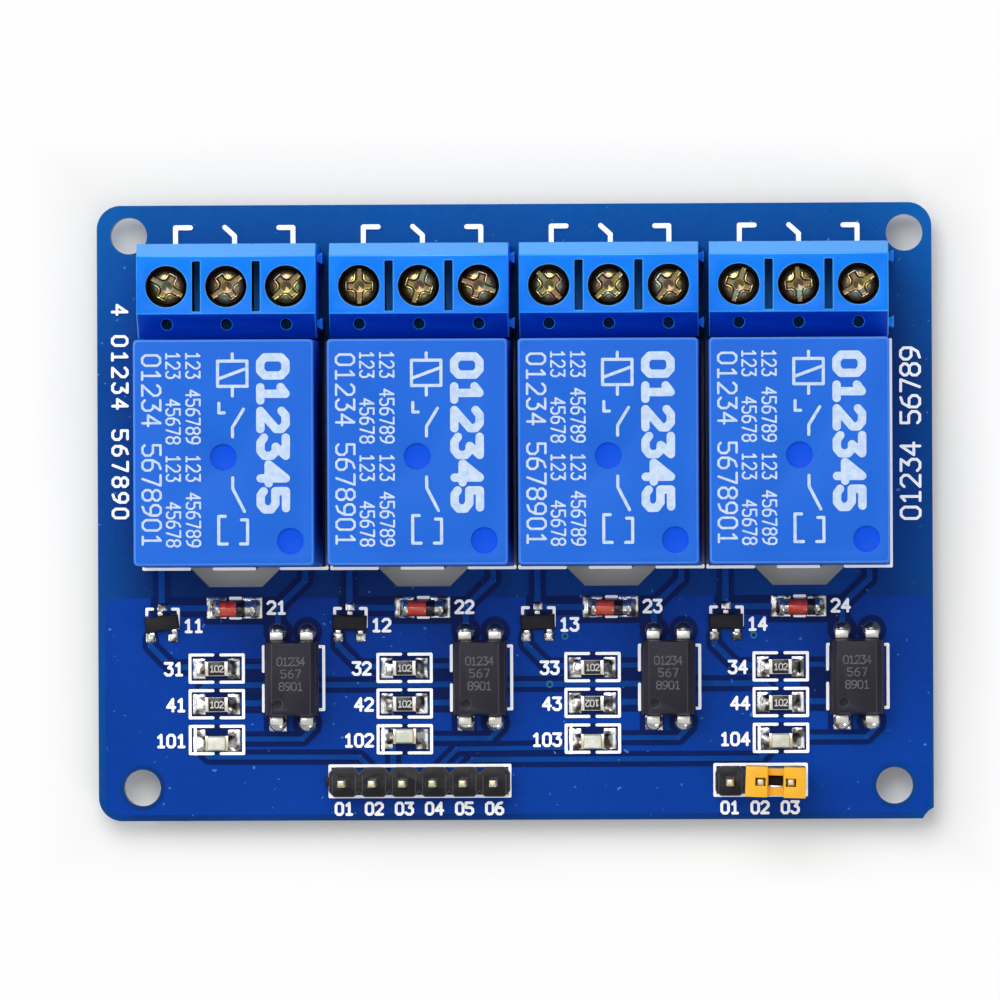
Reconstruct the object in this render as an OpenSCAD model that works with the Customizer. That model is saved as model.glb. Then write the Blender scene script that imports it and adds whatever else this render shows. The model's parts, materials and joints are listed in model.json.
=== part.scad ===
// Four channel relay module board.
// Each channel has a three way screw terminal block at the rear, a sealed relay
// in front of it, and then a diode, a transistor, an optocoupler, two resistors
// and a lamp. A six pin input header and a three pin power header with its
// jumper cap stand at the front edge.
// +X runs right along the row of channels, +Y towards the terminal blocks and
// +Z up. The origin is under the middle of the board, at the pin tails' ends.

/* [Circuit board] */
// Thickness of the board
board_t = 1.6; // [1.2:0.1:2.4]
// Radius of the board's rounded corners
board_corner_r = 2; // [1:0.1:3]
// Radius of the hollow nick in the front right corner
nick_r = 1.9; // [1.5:0.1:3]
// Distance of the nick's centre outside each edge of that corner
nick_out = 0.8; // [0.3:0.1:1]
// Board between the outer channels and the side edges
side_margin = 3.5; // [3:0.1:8]
// Board between the terminal blocks and the rear edge
rear_margin = 3.5; // [3.4:0.1:8]
// Board between the header pins and the front edge
front_margin = 3.25; // [2.5:0.05:8]
// Sideways shift of the whole layout on the board
layout_x = 0.2; // [-0.5:0.1:0.5]
// Length of the relay and terminal pins under the board
tail = 2; // [1.6:0.1:3]
// Room around each pin in its drilled hole, all round
drill_play = 0.15; // [0.05:0.05:0.25]

/* [Fixing holes] */
// Diameter of the four fixing holes
fixing_d = 3.1; // [2.5:0.1:3.5]
// Rear fixing holes, distance in from the side edges
rear_fixing_in = 2.5; // [2.2:0.05:2.6]
// Rear fixing holes, distance in from the rear edge
rear_fixing_edge = 2.55; // [2.2:0.05:2.6]
// Front fixing holes, distance in from the side edges
front_fixing_in = 3.5; // [2.8:0.05:5]
// Front fixing holes, distance in from the front edge
front_fixing_edge = 2.8; // [2.4:0.05:4]

/* [Isolation slots] */
// Width of the milled slot round each common contact
slot_cut = 1.4; // [0.8:0.1:1.8]
// Outer width of the slot's straight front run
slot_foot = 4.5; // [3.6:0.1:5]
// Outer width across the slot's two legs
slot_span = 8.4; // [7.6:0.1:8.8]
// How far the slot reaches in front of the relay
slot_reach = 1.65; // [1.2:0.05:2]
// How far the legs run back under the relay
slot_back = 5; // [3:0.5:8]

/* [Relays] */
// Width of a relay at its foot
relay_w = 15.3; // [15:0.1:17]
// Length of a relay at its foot
relay_l = 19.1; // [18.5:0.1:22]
// Height of a relay above the board
relay_h = 15.4; // [14:0.1:20]
// Taper of the cover's walls, on each side
relay_draft = 0.15; // [0.05:0.05:0.4]
// Radius of the cover's upright edges
relay_edge_r = 0.6; // [0.3:0.1:1.5]
// Radius of the edge round the cover's top
relay_rim_r = 0.3; // [0.1:0.05:0.6]
// Thickness of the cover's wall at the foot
relay_wall = 0.8; // [0.5:0.1:1.2]
// Thickness of the base plate
base_t = 1.5; // [1:0.1:2.5]
// Height of the base plate's feet
foot_h = 0.3; // [0.2:0.05:0.5]
// Diameter of the base plate's feet
foot_d = 1.2; // [0.8:0.1:1.6]
// Distance from the relay's front to its common pin
common_in = 2.3; // [2:0.1:3]
// Distance from the common pin back to the coil pins
coil_step = 2; // [1.8:0.1:3]
// Distance from the relay's rear to its contact pins
contact_in = 2.6; // [2:0.1:4]
// Distance from the relay's sides to its left and right pins
side_pin_in = 1.65; // [1.4:0.05:2]
// Width of a flat contact pin
contact_pin_w = 1; // [0.8:0.1:1.4]
// Thickness of a flat contact pin
contact_pin_t = 0.4; // [0.3:0.05:0.8]
// Width of a square coil pin
coil_pin_w = 0.6; // [0.4:0.05:0.8]
// Diameter of the two round marks in the cover's top
mark_d = 2.25; // [1.5:0.05:3]
// Depth of those marks
mark_depth = 0.25; // [0.1:0.05:0.5]
// Distance of the middle mark in front of the cover's middle
mark_ahead = 0.4; // [0:0.1:2]
// Distance of the corner mark from the cover's right side
mark_side_in = 2.1; // [1.9:0.05:3]
// Distance of the corner mark from the cover's front
mark_front_in = 2.15; // [1.9:0.05:3]
// Gap between a relay and the next channel's relay
channel_gap = 0.575; // [0.55:0.005:3]
// Gap between the terminal blocks and the relays
row_gap = 0.1; // [0.1:0.05:1]

/* [Terminal blocks] */
// Distance between two wires
way_pitch = 5; // [4.8:0.05:5.2]
// Depth of a block, front to rear
block_d = 7.9; // [7.6:0.1:9.5]
// Height of a block above the board
block_h = 10; // [9.7:0.1:13]
// Width of the bevel along the rear top edge
bevel_w = 1.05; // [0.5:0.05:1.3]
// Height of that bevel
bevel_h = 0.9; // [0.4:0.1:2]
// Width of the slope along the front top edge
slope_w = 2; // [1.2:0.05:2.2]
// Height of that slope
slope_h = 2.6; // [1:0.1:4]
// Distance from the rear face to the screws' axes
screw_in = 3.6; // [3.5:0.05:3.9]
// Thickness of the ribs between the wire chambers
rib_t = 1.1; // [0.9:0.1:1.3]
// Thickness of the rear wall in front of the wire chambers
entry_wall = 0.9; // [0.7:0.05:1]
// Flare of the wire entries at the rear face, on each side
entry_flare = 0.35; // [0.1:0.05:0.5]
// Width of the narrow reliefs between the screw wells
relief_w = 0.68; // [0.4:0.02:0.75]
// Length of those reliefs
relief_l = 4.2; // [3:0.1:4.4]
// Floor left under each relief
relief_floor = 0.4; // [0.2:0.1:1]
// Diameter of the test holes in the front slope
probe_d = 0.9; // [0.6:0.05:1.1]
// Distance from the front face to the test holes
probe_in = 1.15; // [1:0.05:1.3]
// Depth of the test holes below the block's top
probe_depth = 4; // [3:0.1:4.4]
// Length of the joining rails on a block's side
rail_l = 1; // [0.8:0.05:1.4]
// How far the rails stand out
rail_out = 0.45; // [0.2:0.05:0.48]
// Distance of the rails from the block's front and rear
rail_in = 1.2; // [0.8:0.1:1.6]
// Height of the rails
rail_h = 7; // [4:0.1:7.2]

/* [Wire clamps] */
// Height of the cage's underside above the board
cage_lift = 0.7; // [0.4:0.1:1.2]
// Height of the cage round the wire
cage_h = 4.5; // [4.3:0.1:4.6]
// Length of the cage along the wire
cage_l = 4.4; // [3.8:0.1:4.6]
// Thickness of the cage's walls
cage_wall = 0.5; // [0.3:0.05:0.55]
// Thickness of the cage's threaded top
cage_top_t = 0.9; // [0.7:0.05:0.95]
// Gap between a cage and the ribs beside it
cage_gap = 0.1; // [0.05:0.05:0.15]
// Width of a square terminal pin
terminal_pin_w = 0.9; // [0.6:0.05:1.1]
// Thickness of the wire guard
guard_t = 0.3; // [0.2:0.05:0.35]
// Gap between the wire guard and the cage's sides
guard_gap = 0.2; // [0.1:0.05:0.3]
// Height of the guard's turned down lip
guard_lip = 0.5; // [0.2:0.05:0.55]
// Downward travel of screw and guard, from open to shut
clamp_travel = 2.25; // [1.5:0.05:2.3]
// Diameter of a clamping screw's shank
shank_d = 2.4; // [1.8:0.05:2.5]
// Diameter of a screw's head
head_d = 3; // [2.8:0.05:3.1]
// Height of a screw's head
head_h = 1.5; // [1.1:0.05:2]
// Rise of the head's domed top
head_crown = 0.2; // [0.1:0.05:0.4]
// Gap between a screw's head and its well, all round
well_gap = 0.235; // [0.15:0.005:0.26]
// Width of the slot and the cross in a screw's head
drive_w = 0.55; // [0.4:0.05:0.7]
// Length of the cross in a screw's head
cross_l = 2.3; // [1.8:0.1:2.6]
// Depth of the slot and the cross
drive_depth = 0.75; // [0.4:0.05:0.9]
// Running gap of a shank in its threaded hole, all round
thread_gap = 0.06; // [0.03:0.01:0.1]
// Gap between the moving pieces that nearly touch
touch_gap = 0.1; // [0.05:0.05:0.15]

/* [Optocouplers] */
// Distance from the relays' front to the optocouplers' middle
opto_row = 9.4; // [9.2:0.1:10]
// Distance of an optocoupler from its channel's middle line
opto_x = 4.8; // [4.4:0.1:5]
// Width of an optocoupler's body
opto_w = 4.58; // [4.2:0.02:4.8]
// Length of an optocoupler's body
opto_l = 6.4; // [5.8:0.1:6.6]
// Height of an optocoupler's body
opto_h = 3.5; // [3:0.1:4]
// Gap under an optocoupler's body
opto_lift = 0.5; // [0.3:0.1:1]
// Taper of the body above and below its parting line
opto_draft = 0.22; // [0.1:0.02:0.3]
// Width of the bevels along the top's long edges
opto_bevel = 0.45; // [0.2:0.05:0.7]
// Diameter of the first pin's round mark
dot_d = 0.85; // [0.5:0.05:1.1]
// Depth of that mark
dot_depth = 0.12; // [0.05:0.01:0.3]
// Distance between the two rows of leads
opto_rows = 7.62; // [7.4:0.02:8]
// Distance between the leads in a row
opto_pitch = 2.54; // [2.4:0.02:2.7]
// Width of a lead at the body
lead_w = 1.1; // [0.9:0.05:1.3]
// Thickness of a lead
lead_t = 0.25; // [0.2:0.01:0.3]
// Width of a lead in the board
lead_pin_w = 0.5; // [0.4:0.05:0.6]
// Gap between the solder and the wide part of a lead
lead_clear = 0.3; // [0.2:0.05:0.5]
// Length of a lead under the board
lead_tail = 1.3; // [1:0.1:1.5]

/* [Small parts] */
// Distance from the relays' front to the diodes
diode_row = 3.5; // [3.3:0.05:3.8]
// Length of a diode
diode_l = 3.4; // [3:0.1:3.7]
// Diameter of a diode's glass
diode_d = 1.4; // [1.2:0.05:1.5]
// Length of a diode's end caps
diode_cap_l = 0.4; // [0.25:0.05:0.6]
// Thickness of the end caps over the glass
diode_cap_t = 0.06; // [0.03:0.01:0.1]
// Distance from the relays' front to the transistors
transistor_row = 4.7; // [4.4:0.05:5]
// Distance of a transistor from its channel's middle line
transistor_x = 6.23; // [6:0.01:6.5]
// Length of a transistor's body
transistor_l = 2.9; // [2.7:0.05:3]
// Width of a transistor's body
transistor_w = 1.3; // [1.2:0.05:1.4]
// Height of a transistor's body
transistor_h = 0.95; // [0.8:0.05:1.1]
// Distance across a transistor's leads
transistor_span = 2.5; // [2.3:0.05:2.7]
// Distance between the two leads on one side
transistor_pitch = 1.9; // [1.8:0.05:2]
// Width of a transistor's lead
foot_w = 0.45; // [0.35:0.05:0.5]
// Thickness of a transistor's lead
foot_t = 0.15; // [0.1:0.01:0.2]
// Distance from the relays' front to the first row of chips
chip_row = 8.55; // [8.2:0.05:9]
// Distance between the rows of chips
chip_pitch = 3.03; // [2.6:0.01:3.4]
// Distance of the chips from their channel's middle line
chip_x = 1.64; // [1.4:0.02:1.8]
// Length of a chip resistor or lamp
chip_l = 2; // [1.8:0.05:2.1]
// Width of a chip resistor or lamp
chip_w = 1.25; // [1:0.05:1.4]
// Height of a chip resistor
resistor_h = 0.5; // [0.4:0.05:0.7]
// Length of a chip's end caps
chip_cap_l = 0.4; // [0.25:0.05:0.5]
// Thickness of a lamp's carrier
lamp_base_h = 0.3; // [0.2:0.05:0.4]
// Height of a lamp's clear top above its carrier
lamp_top_h = 0.45; // [0.3:0.05:0.7]
// Width of the solder beyond the end of a chip
fillet_l = 0.8; // [0.5:0.05:0.9]

/* [Headers] */
// Distance from the lamps to the header pins
header_row = 3.54; // [3.3:0.01:5]
// Middle of the input header, left of the second channel's middle line
input_x = 0.36; // [-0.6:0.02:1.2]
// Middle of the power header, left of the last channel's middle line
power_x = 3.36; // [2.8:0.02:4]
// Distance between header pins
pin_pitch = 2.54; // [2.5:0.01:2.6]
// Depth of a header's plastic body
cell_d = 2.5; // [2.3:0.05:2.6]
// Height of a header's plastic body
cell_h = 2.5; // [2:0.1:3]
// Size of the notches between a header's cells
cell_notch = 0.45; // [0.2:0.05:0.6]
// Width of a square header pin
pin_w = 0.62; // [0.5:0.02:0.7]
// Length of a header pin above its plastic body
pin_up = 6; // [5:0.1:7]
// Length of a header pin under the board
pin_tail = 1.4; // [1.2:0.1:1.55]
// Length of the bevel at a header pin's ends
pin_tip = 0.4; // [0.2:0.05:0.6]

/* [Jumper cap] */
// Width of the jumper cap over two pins
cap_w = 5.05; // [4.9:0.05:5.2]
// Depth of the jumper cap
cap_d = 2.55; // [2.4:0.05:2.7]
// Height of the jumper cap
cap_h = 6; // [5.8:0.1:6.8]
// Gap between the jumper cap and the header below it
cap_gap = 0.3; // [0.1:0.1:0.5]
// Turn of the jumper cap on its pins
cap_turn = -2; // [-3:0.5:3]
// Width of the sockets in the jumper cap
socket_w = 1.5; // [1.4:0.05:1.6]
// Depth of the sockets, front to rear
socket_d = 1.5; // [1.4:0.05:1.6]
// Width of the window between the sockets
window_w = 1.2; // [0.8:0.05:1.3]
// Thickness of the clip's strip
clip_t = 0.2; // [0.15:0.01:0.22]
// Height of the clip's top above the cap's underside
clip_h = 4.2; // [3:0.1:4.6]
// Height of the clip's lower ends above the cap's underside
clip_lift = 0.4; // [0.2:0.1:1]

/* [Solder] */
// Height of the solder cones under the board
cone_h = 1.1; // [0.8:0.05:1.15]
// Width of the solder round each pin, from the edge of its hole
cone_rim = 0.3; // [0.2:0.05:0.35]
// Radius of the solder domes round the optocouplers' leads
dome_r = 0.74; // [0.65:0.01:0.8]
// Height of those domes
dome_h = 0.6; // [0.4:0.05:0.7]

/* [Hidden] */
$fn = 48;
channels = 4;
ways = 3;
input_pins = 6;
power_pins = 3;

// Settled by hand: how each piece was left when it was fitted
channel_lean = [-0.25, 0, 0, 0];
transistor_turn = [9, -2, 2, 0];
lamp_shift = [-0.25, 0.3, -0.2, -0.2];
drive_turn = [[-30, 35, 43], [90, 72, -19], [-50, 44, 52], [72, 95, 31]];

block_w = ways * way_pitch;
channel_pitch = max(relay_w, block_w) + channel_gap;
board_w = channels * channel_pitch + 2 * side_margin;
board_d = rear_margin + block_d + row_gap + relay_l + chip_row + 2 * chip_pitch
    + header_row + front_margin;
deck = tail + board_t;

// Rows, from the rear of the board to its front
block_y = board_d / 2 - rear_margin - block_d / 2;
screw_y = block_d / 2 - screw_in;
relay_y = block_y - block_d / 2 - row_gap - relay_l / 2;
relay_front = relay_y - relay_l / 2;
diode_y = relay_front - diode_row;
transistor_y = relay_front - transistor_row;
opto_y = relay_front - opto_row;
header_y = -board_d / 2 + front_margin;
input_mid = channel_x(1) - input_x;
power_mid = channel_x(channels - 1) - power_x;

// Sizes inside a terminal block
well_d = head_d + 2 * well_gap;
chamber_w = way_pitch - rib_t;
cage_w = chamber_w - 2 * cage_gap;
cage_in_w = cage_w - 2 * cage_wall;
cage_top = cage_lift + cage_h;
chamber_rear = block_d / 2 - entry_wall;
cage_rear = chamber_rear - guard_t - 2 * touch_gap;
cage_front = cage_rear - cage_l;
guard_top = cage_top - cage_top_t - touch_gap;
guard_rear = chamber_rear - touch_gap;
guard_front = cage_front + touch_gap;
head_base = cage_top + touch_gap + clamp_travel;

// Leads and pins that pass through the board: place and cross-section
side_pin_x = relay_w / 2 - side_pin_in;
relay_pins_local = [
    [0, common_in, contact_pin_w, contact_pin_t],
    for (s = [-1, 1]) [s * side_pin_x, common_in + coil_step, coil_pin_w, coil_pin_w],
    for (s = [-1, 1]) [s * side_pin_x, relay_l - contact_in, contact_pin_w, contact_pin_t]
];
relay_pin_list = [for (k = [0:channels - 1], p = relay_pins_local)
    [seat_x(k) + p[0], relay_front + p[1], p[2], p[3]]];
terminal_pin_list = [for (k = [0:channels - 1], w = [0:ways - 1])
    [seat_x(k) + way_x(w), block_y + (cage_front + cage_rear) / 2, terminal_pin_w, terminal_pin_w]];
input_pin_list = [for (j = [0:input_pins - 1])
    [input_mid + pin_x(j, input_pins), header_y, pin_w, pin_w]];
power_pin_list = [for (j = [0:power_pins - 1])
    [power_mid + pin_x(j, power_pins), header_y, pin_w, pin_w]];
opto_pin_list = [for (k = [0:channels - 1], x = [-1, 1], y = [-1, 1])
    [channel_x(k) + opto_x + x * opto_pitch / 2, opto_y + y * opto_rows / 2, lead_pin_w, lead_t]];

way_count = channels * ways;

function channel_x(k) = layout_x + (k - (channels - 1) / 2) * channel_pitch;
function seat_x(k) = channel_x(k) + channel_lean[k];
function way_x(w) = (w - (ways - 1) / 2) * way_pitch;
function pin_x(j, n) = (j - (n - 1) / 2) * pin_pitch;
function chip_y(row) = relay_front - chip_row - row * chip_pitch;
function way_of(n) = n % ways;
function channel_of(n) = floor(n / ways);

// ---- shared shapes ----

module rounded_plate(w, d, r) {
    square([w - 2 * r, d], center = true);
    square([w, d - 2 * r], center = true);
    for (x = [-1, 1], y = [-1, 1])
        translate([x * (w / 2 - r), y * (d / 2 - r)]) circle(r);
}

// Box whose four sides lean in by the draft towards its top
module drafted_box(w, d, h, draft) {
    intersection() {
        rotate([90, 0, 0]) linear_extrude(d, center = true) trapezoid(w, h, draft);
        rotate([90, 0, 90]) linear_extrude(w, center = true) trapezoid(d, h, draft);
    }
}

module trapezoid(w, h, draft) {
    polygon([[-w / 2, 0], [w / 2, 0], [w / 2 - draft, h], [-w / 2 + draft, h]]);
}

module upright(w, d, low, high) {
    translate([-w / 2, -d / 2, low]) cube([w, d, high - low]);
}

// Square pin with a bevel on all four sides at both ends
module square_pin(w, low, high, tip) {
    intersection_for (turn = [0, 90])
        rotate([0, 0, turn]) rotate([90, 0, 0]) linear_extrude(w, center = true)
            polygon([[-w / 2, low + tip], [-w / 4, low], [w / 4, low], [w / 2, low + tip],
                     [w / 2, high - tip], [w / 4, high], [-w / 4, high], [-w / 2, high - tip]]);
}

// ---- circuit board ----

module board_outline() {
    difference() {
        union() {
            rounded_plate(board_w, board_d, board_corner_r);
            translate([board_w / 2 - board_corner_r, -board_d / 2]) square(board_corner_r);
        }
        translate([board_w / 2 + nick_out, -board_d / 2 - nick_out]) circle(nick_r);
    }
}

module fixing_holes() {
    for (side = [-1, 1]) {
        translate([layout_x + side * (board_w / 2 - rear_fixing_in), board_d / 2 - rear_fixing_edge])
            circle(d = fixing_d);
        translate([layout_x + side * (board_w / 2 - front_fixing_in), -board_d / 2 + front_fixing_edge])
            circle(d = fixing_d);
    }
}

module slot_edge(span, foot, front, back) {
    shoulder = front + (span - foot) / 2;
    polygon([[-span / 2, back], [-span / 2, shoulder], [-foot / 2, front],
             [foot / 2, front], [span / 2, shoulder], [span / 2, back]]);
}

// The slot bends round the common pin's land, with its legs under the relay
module isolation_slot() {
    corner = slot_cut * (sqrt(2) - 1);
    difference() {
        slot_edge(slot_span, slot_foot, -slot_reach, slot_back);
        slot_edge(slot_span - 2 * slot_cut, slot_foot - 2 * corner, slot_cut - slot_reach,
                  slot_back + slot_cut);
    }
}

module board() {
    color("royalblue") translate([0, 0, tail]) linear_extrude(board_t) difference() {
        board_outline();
        fixing_holes();
        for (k = [0:channels - 1]) translate([channel_x(k), relay_front]) isolation_slot();
        for (p = concat(relay_pin_list, terminal_pin_list, input_pin_list, power_pin_list, opto_pin_list))
            translate([p[0], p[1]]) circle(d = drill_d(p));
    }
}

function drill_d(p) = norm([p[2], p[3]]) + 2 * drill_play;

// ---- terminal blocks ----

module block_profile() {
    polygon([[-block_d / 2, 0], [block_d / 2, 0], [block_d / 2, block_h - bevel_h],
             [block_d / 2 - bevel_w, block_h], [-block_d / 2 + slope_w, block_h],
             [-block_d / 2, block_h - slope_h]]);
}

// Wire chamber, the flared entry into it and the screw's well above it
module way_cut() {
    entry_low = cage_lift + cage_wall;
    entry_high = guard_top - guard_t;
    entry_mid = (entry_low + entry_high) / 2;
    translate([-chamber_w / 2, cage_front, -1]) cube([chamber_w, chamber_rear - cage_front, cage_top + 1]);
    translate([0, screw_y, cage_top - 1]) cylinder(h = block_h, d = well_d);
    translate([0, chamber_rear - 0.5, entry_mid]) rotate([-90, 0, 0])
        upright(cage_in_w, entry_high - entry_low, 0, entry_wall + 1);
    translate([0, block_d / 2 + 0.01, entry_mid]) rotate([90, 0, 0])
        drafted_box(cage_in_w + 2 * entry_flare, entry_high - entry_low + 2 * entry_flare,
                    entry_flare, entry_flare);
    translate([0, -block_d / 2 + probe_in, block_h - probe_depth]) cylinder(h = block_h, d = probe_d);
}

module rail(w, l, h) {
    linear_extrude(h) polygon([[0, -l / 4], [w, -l / 2], [w, l / 2], [0, l / 4]]);
}

module terminal_block(k) {
    color("dodgerblue") translate([seat_x(k), block_y, deck]) difference() {
        union() {
            rotate([90, 0, 90]) linear_extrude(block_w, center = true) block_profile();
            for (y = [-1, 1]) translate([block_w / 2, y * (block_d / 2 - rail_in), 0])
                rail(rail_out, rail_l, rail_h);
        }
        for (w = [0:ways - 1]) translate([way_x(w), 0, 0]) way_cut();
        for (w = [1:ways - 1]) translate([way_x(w) - way_pitch / 2, screw_y, 0])
            upright(relief_w, relief_l, cage_top + relief_floor, block_h + 1);
        for (y = [-1, 1]) translate([-block_w / 2 - 0.01, y * (block_d / 2 - rail_in), -1])
            rail(rail_out + touch_gap, rail_l + 2 * touch_gap, rail_h + 1 + touch_gap);
    }
}

// Cages with their pins: each is a square tube round the wire with a threaded top
module terminal_contacts(k) {
    color("silver") translate([seat_x(k), block_y, deck]) for (w = [0:ways - 1])
        translate([way_x(w), 0, 0]) {
            difference() {
                translate([-cage_w / 2, cage_front, cage_lift]) cube([cage_w, cage_l, cage_h]);
                translate([-cage_in_w / 2, cage_front - 1, cage_lift + cage_wall])
                    cube([cage_in_w, cage_l + 2, cage_h - cage_wall - cage_top_t]);
                translate([0, screw_y, cage_top - cage_top_t - 1])
                    cylinder(h = cage_top_t + 2, d = shank_d + 2 * thread_gap);
            }
            translate([0, (cage_front + cage_rear) / 2, 0])
                upright(terminal_pin_w, terminal_pin_w, -deck, cage_lift + cage_wall);
        }
}

// Leaf between the screw and the wire, with its lip turned down before the cage
module wire_guard(n) {
    guard_w = cage_in_w - 2 * guard_gap;
    color("silver") translate([seat_x(channel_of(n)) + way_x(way_of(n)), block_y, deck])
        rotate([90, 0, 90]) linear_extrude(guard_w, center = true)
            polygon([[guard_front, guard_top], [guard_rear, guard_top],
                     [guard_rear, guard_top - guard_t - guard_lip],
                     [guard_rear - guard_t, guard_top - guard_t - guard_lip],
                     [guard_rear - guard_t, guard_top - guard_t],
                     [guard_front, guard_top - guard_t]]);
}

module screw_outline() {
    crown_r = (pow(head_d / 2, 2) + pow(head_crown, 2)) / (2 * head_crown);
    tip = guard_top + touch_gap;
    top = head_base + head_h;
    translate([0, tip]) square([shank_d / 2, head_base - tip]);
    intersection() {
        translate([0, head_base]) square([head_d / 2, head_h]);
        translate([0, top - crown_r]) circle(crown_r, $fn = 96);
    }
}

module terminal_screw(n) {
    top = head_base + head_h;
    color("darkkhaki") translate([seat_x(channel_of(n)) + way_x(way_of(n)), block_y + screw_y, deck])
        rotate([0, 0, drive_turn[channel_of(n)][way_of(n)]]) difference() {
            rotate_extrude() intersection() {
                screw_outline();
                translate([0, -1]) square(block_h + 2);
            }
            upright(head_d + 1, drive_w, top - drive_depth, top + 1);
            upright(drive_w, cross_l, top - drive_depth, top + 1);
            translate([0, 0, top - drive_depth]) cylinder(h = 1 + drive_depth, d = drive_w * 2);
        }
}

// ---- relays ----

// Outline of the cover, drawn in at its rim by a quarter round
module relay_shell() {
    steps = 5;
    hull() {
        translate([0, 0, foot_h]) linear_extrude(0.01)
            rounded_plate(relay_w, relay_l, relay_edge_r, $fn = 32);
        for (s = [0:steps]) {
            inset = relay_draft + relay_rim_r * (1 - cos(90 * s / steps));
            translate([0, 0, relay_h - relay_rim_r * (1 - sin(90 * s / steps)) - 0.01]) linear_extrude(0.01)
                rounded_plate(relay_w - 2 * inset, relay_l - 2 * inset, relay_edge_r, $fn = 32);
        }
    }
}

module base_pocket(grow) {
    translate([0, 0, foot_h - grow]) linear_extrude(base_t + grow)
        square([relay_w - 2 * relay_wall, relay_l - 2 * relay_wall], center = true);
}

// Middle of the cover's top and its front right corner
mark_spots = [[0, -mark_ahead], [relay_w / 2 - mark_side_in, -relay_l / 2 + mark_front_in]];

module relay_cover(k) {
    color("cornflowerblue") translate([seat_x(k), relay_y, deck]) difference() {
        relay_shell();
        base_pocket(1);
        for (p = mark_spots) translate([p.x, p.y, relay_h - mark_depth]) cylinder(h = 1, d = mark_d);
    }
}

module relay_base(k) {
    foot_x = relay_w / 2 - relay_wall - foot_d;
    foot_y = relay_l / 2 - relay_wall - foot_d;
    color("midnightblue") translate([seat_x(k), relay_y, deck]) difference() {
        union() {
            base_pocket(0);
            for (x = [-1, 1], y = [-1, 1]) translate([x * foot_x, y * foot_y, 0])
                cylinder(h = foot_h + base_t / 2, d = foot_d);
        }
        for (p = relay_pins_local) translate([p[0], p[1] - relay_l / 2, 0])
            upright(p[2], p[3], -1, foot_h + base_t + 1);
    }
}

module relay_pins() {
    color("silver") for (p = relay_pin_list) translate([p[0], p[1], 0])
        upright(p[2], p[3], 0, deck + foot_h + base_t);
}

// ---- optocouplers ----

module optocoupler(k) {
    half = opto_h / 2;
    color("dimgray") translate([channel_x(k) + opto_x, opto_y, deck + opto_lift + half]) difference() {
        intersection() {
            union() {
                drafted_box(opto_w, opto_l, half, opto_draft);
                mirror([0, 0, 1]) drafted_box(opto_w, opto_l, half, opto_draft);
            }
            rotate([90, 0, 0]) linear_extrude(opto_l, center = true)
                polygon([[-opto_w / 2, -half], [opto_w / 2, -half], [opto_w / 2, 0],
                         [opto_w / 2, half - opto_bevel], [opto_w / 2 - opto_bevel - opto_draft, half],
                         [-opto_w / 2 + opto_bevel + opto_draft, half], [-opto_w / 2, half - opto_bevel],
                         [-opto_w / 2, 0]]);
        }
        translate([-opto_w / 4, -opto_l / 2 + opto_l / 6, half - dot_depth]) cylinder(h = 1, d = dot_d);
    }
}

// Wide shoulder out of the body's end, bent down to a narrow pin
module opto_lead() {
    out = (opto_rows - opto_l) / 2;
    mid = deck + opto_lift + opto_h / 2;
    translate([0, lead_t / 4 - out / 2, mid]) upright(lead_w, out + lead_t / 2, -lead_t / 2, lead_t / 2);
    upright(lead_w, lead_t, deck + dome_h + lead_clear, mid);
    upright(lead_pin_w, lead_t, tail - lead_tail, mid);
}

module optocoupler_leads() {
    color("silver") for (k = [0:channels - 1], x = [-1, 1], y = [0, 180])
        translate([channel_x(k) + opto_x + x * opto_pitch / 2, opto_y, 0]) rotate([0, 0, y])
            translate([0, opto_rows / 2, 0]) opto_lead();
}

// ---- small parts on the board's face ----

module along_x(d, l) {
    rotate([0, 90, 0]) cylinder(h = l, d = d, center = true);
}

module at_diode(k) {
    translate([channel_x(k), diode_y, deck + diode_d / 2 + diode_cap_t]) children();
}

module diode_glass() {
    color("crimson") for (k = [0:channels - 1]) at_diode(k) along_x(diode_d, diode_l - 2 * diode_cap_l / 2);
}

module diode_end_caps() {
    cap_d = diode_d + 2 * diode_cap_t;
    color("silver") for (k = [0:channels - 1], s = [-1, 1]) at_diode(k) difference() {
        translate([s * (diode_l - diode_cap_l) / 2, 0, 0]) along_x(cap_d, diode_cap_l);
        along_x(diode_d, diode_l - 2 * diode_cap_l / 2);
    }
}

module at_transistor(k) {
    translate([channel_x(k) - transistor_x, transistor_y, deck]) rotate([0, 0, transistor_turn[k]]) children();
}

module transistors() {
    lift = foot_t;
    half = (transistor_h - lift) / 2;
    color("black") for (k = [0:channels - 1]) at_transistor(k) translate([0, 0, lift + half]) {
        drafted_box(transistor_l, transistor_w, half, half / 4);
        mirror([0, 0, 1]) drafted_box(transistor_l, transistor_w, half, half / 4);
    }
}

// Leads of a transistor: one to the rear and two to the front
transistor_feet = [[0, 1], [-transistor_pitch / 2, -1], [transistor_pitch / 2, -1]];

module transistor_leads() {
    rise = (transistor_h + foot_t) / 2;
    reach = transistor_span / 2;
    knee = (transistor_w / 2 + reach) / 2;
    color("silver") for (k = [0:channels - 1], f = transistor_feet) at_transistor(k)
        translate([f[0], 0, 0]) rotate([90, 0, 90 * f[1]]) linear_extrude(foot_w, center = true)
            polygon([[transistor_w / 2, rise - foot_t / 2], [knee - foot_t, rise - foot_t / 2],
                     [knee - foot_t, 0], [reach + foot_t, 0], [reach + foot_t, foot_t],
                     [knee, foot_t], [knee, rise + foot_t / 2], [transistor_w / 2, rise + foot_t / 2]]);
}

module at_chip(k, row) {
    shift = row == 2 ? lamp_shift[k] : 0;
    translate([channel_x(k) - chip_x, chip_y(row) + shift, deck]) children();
}

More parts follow.
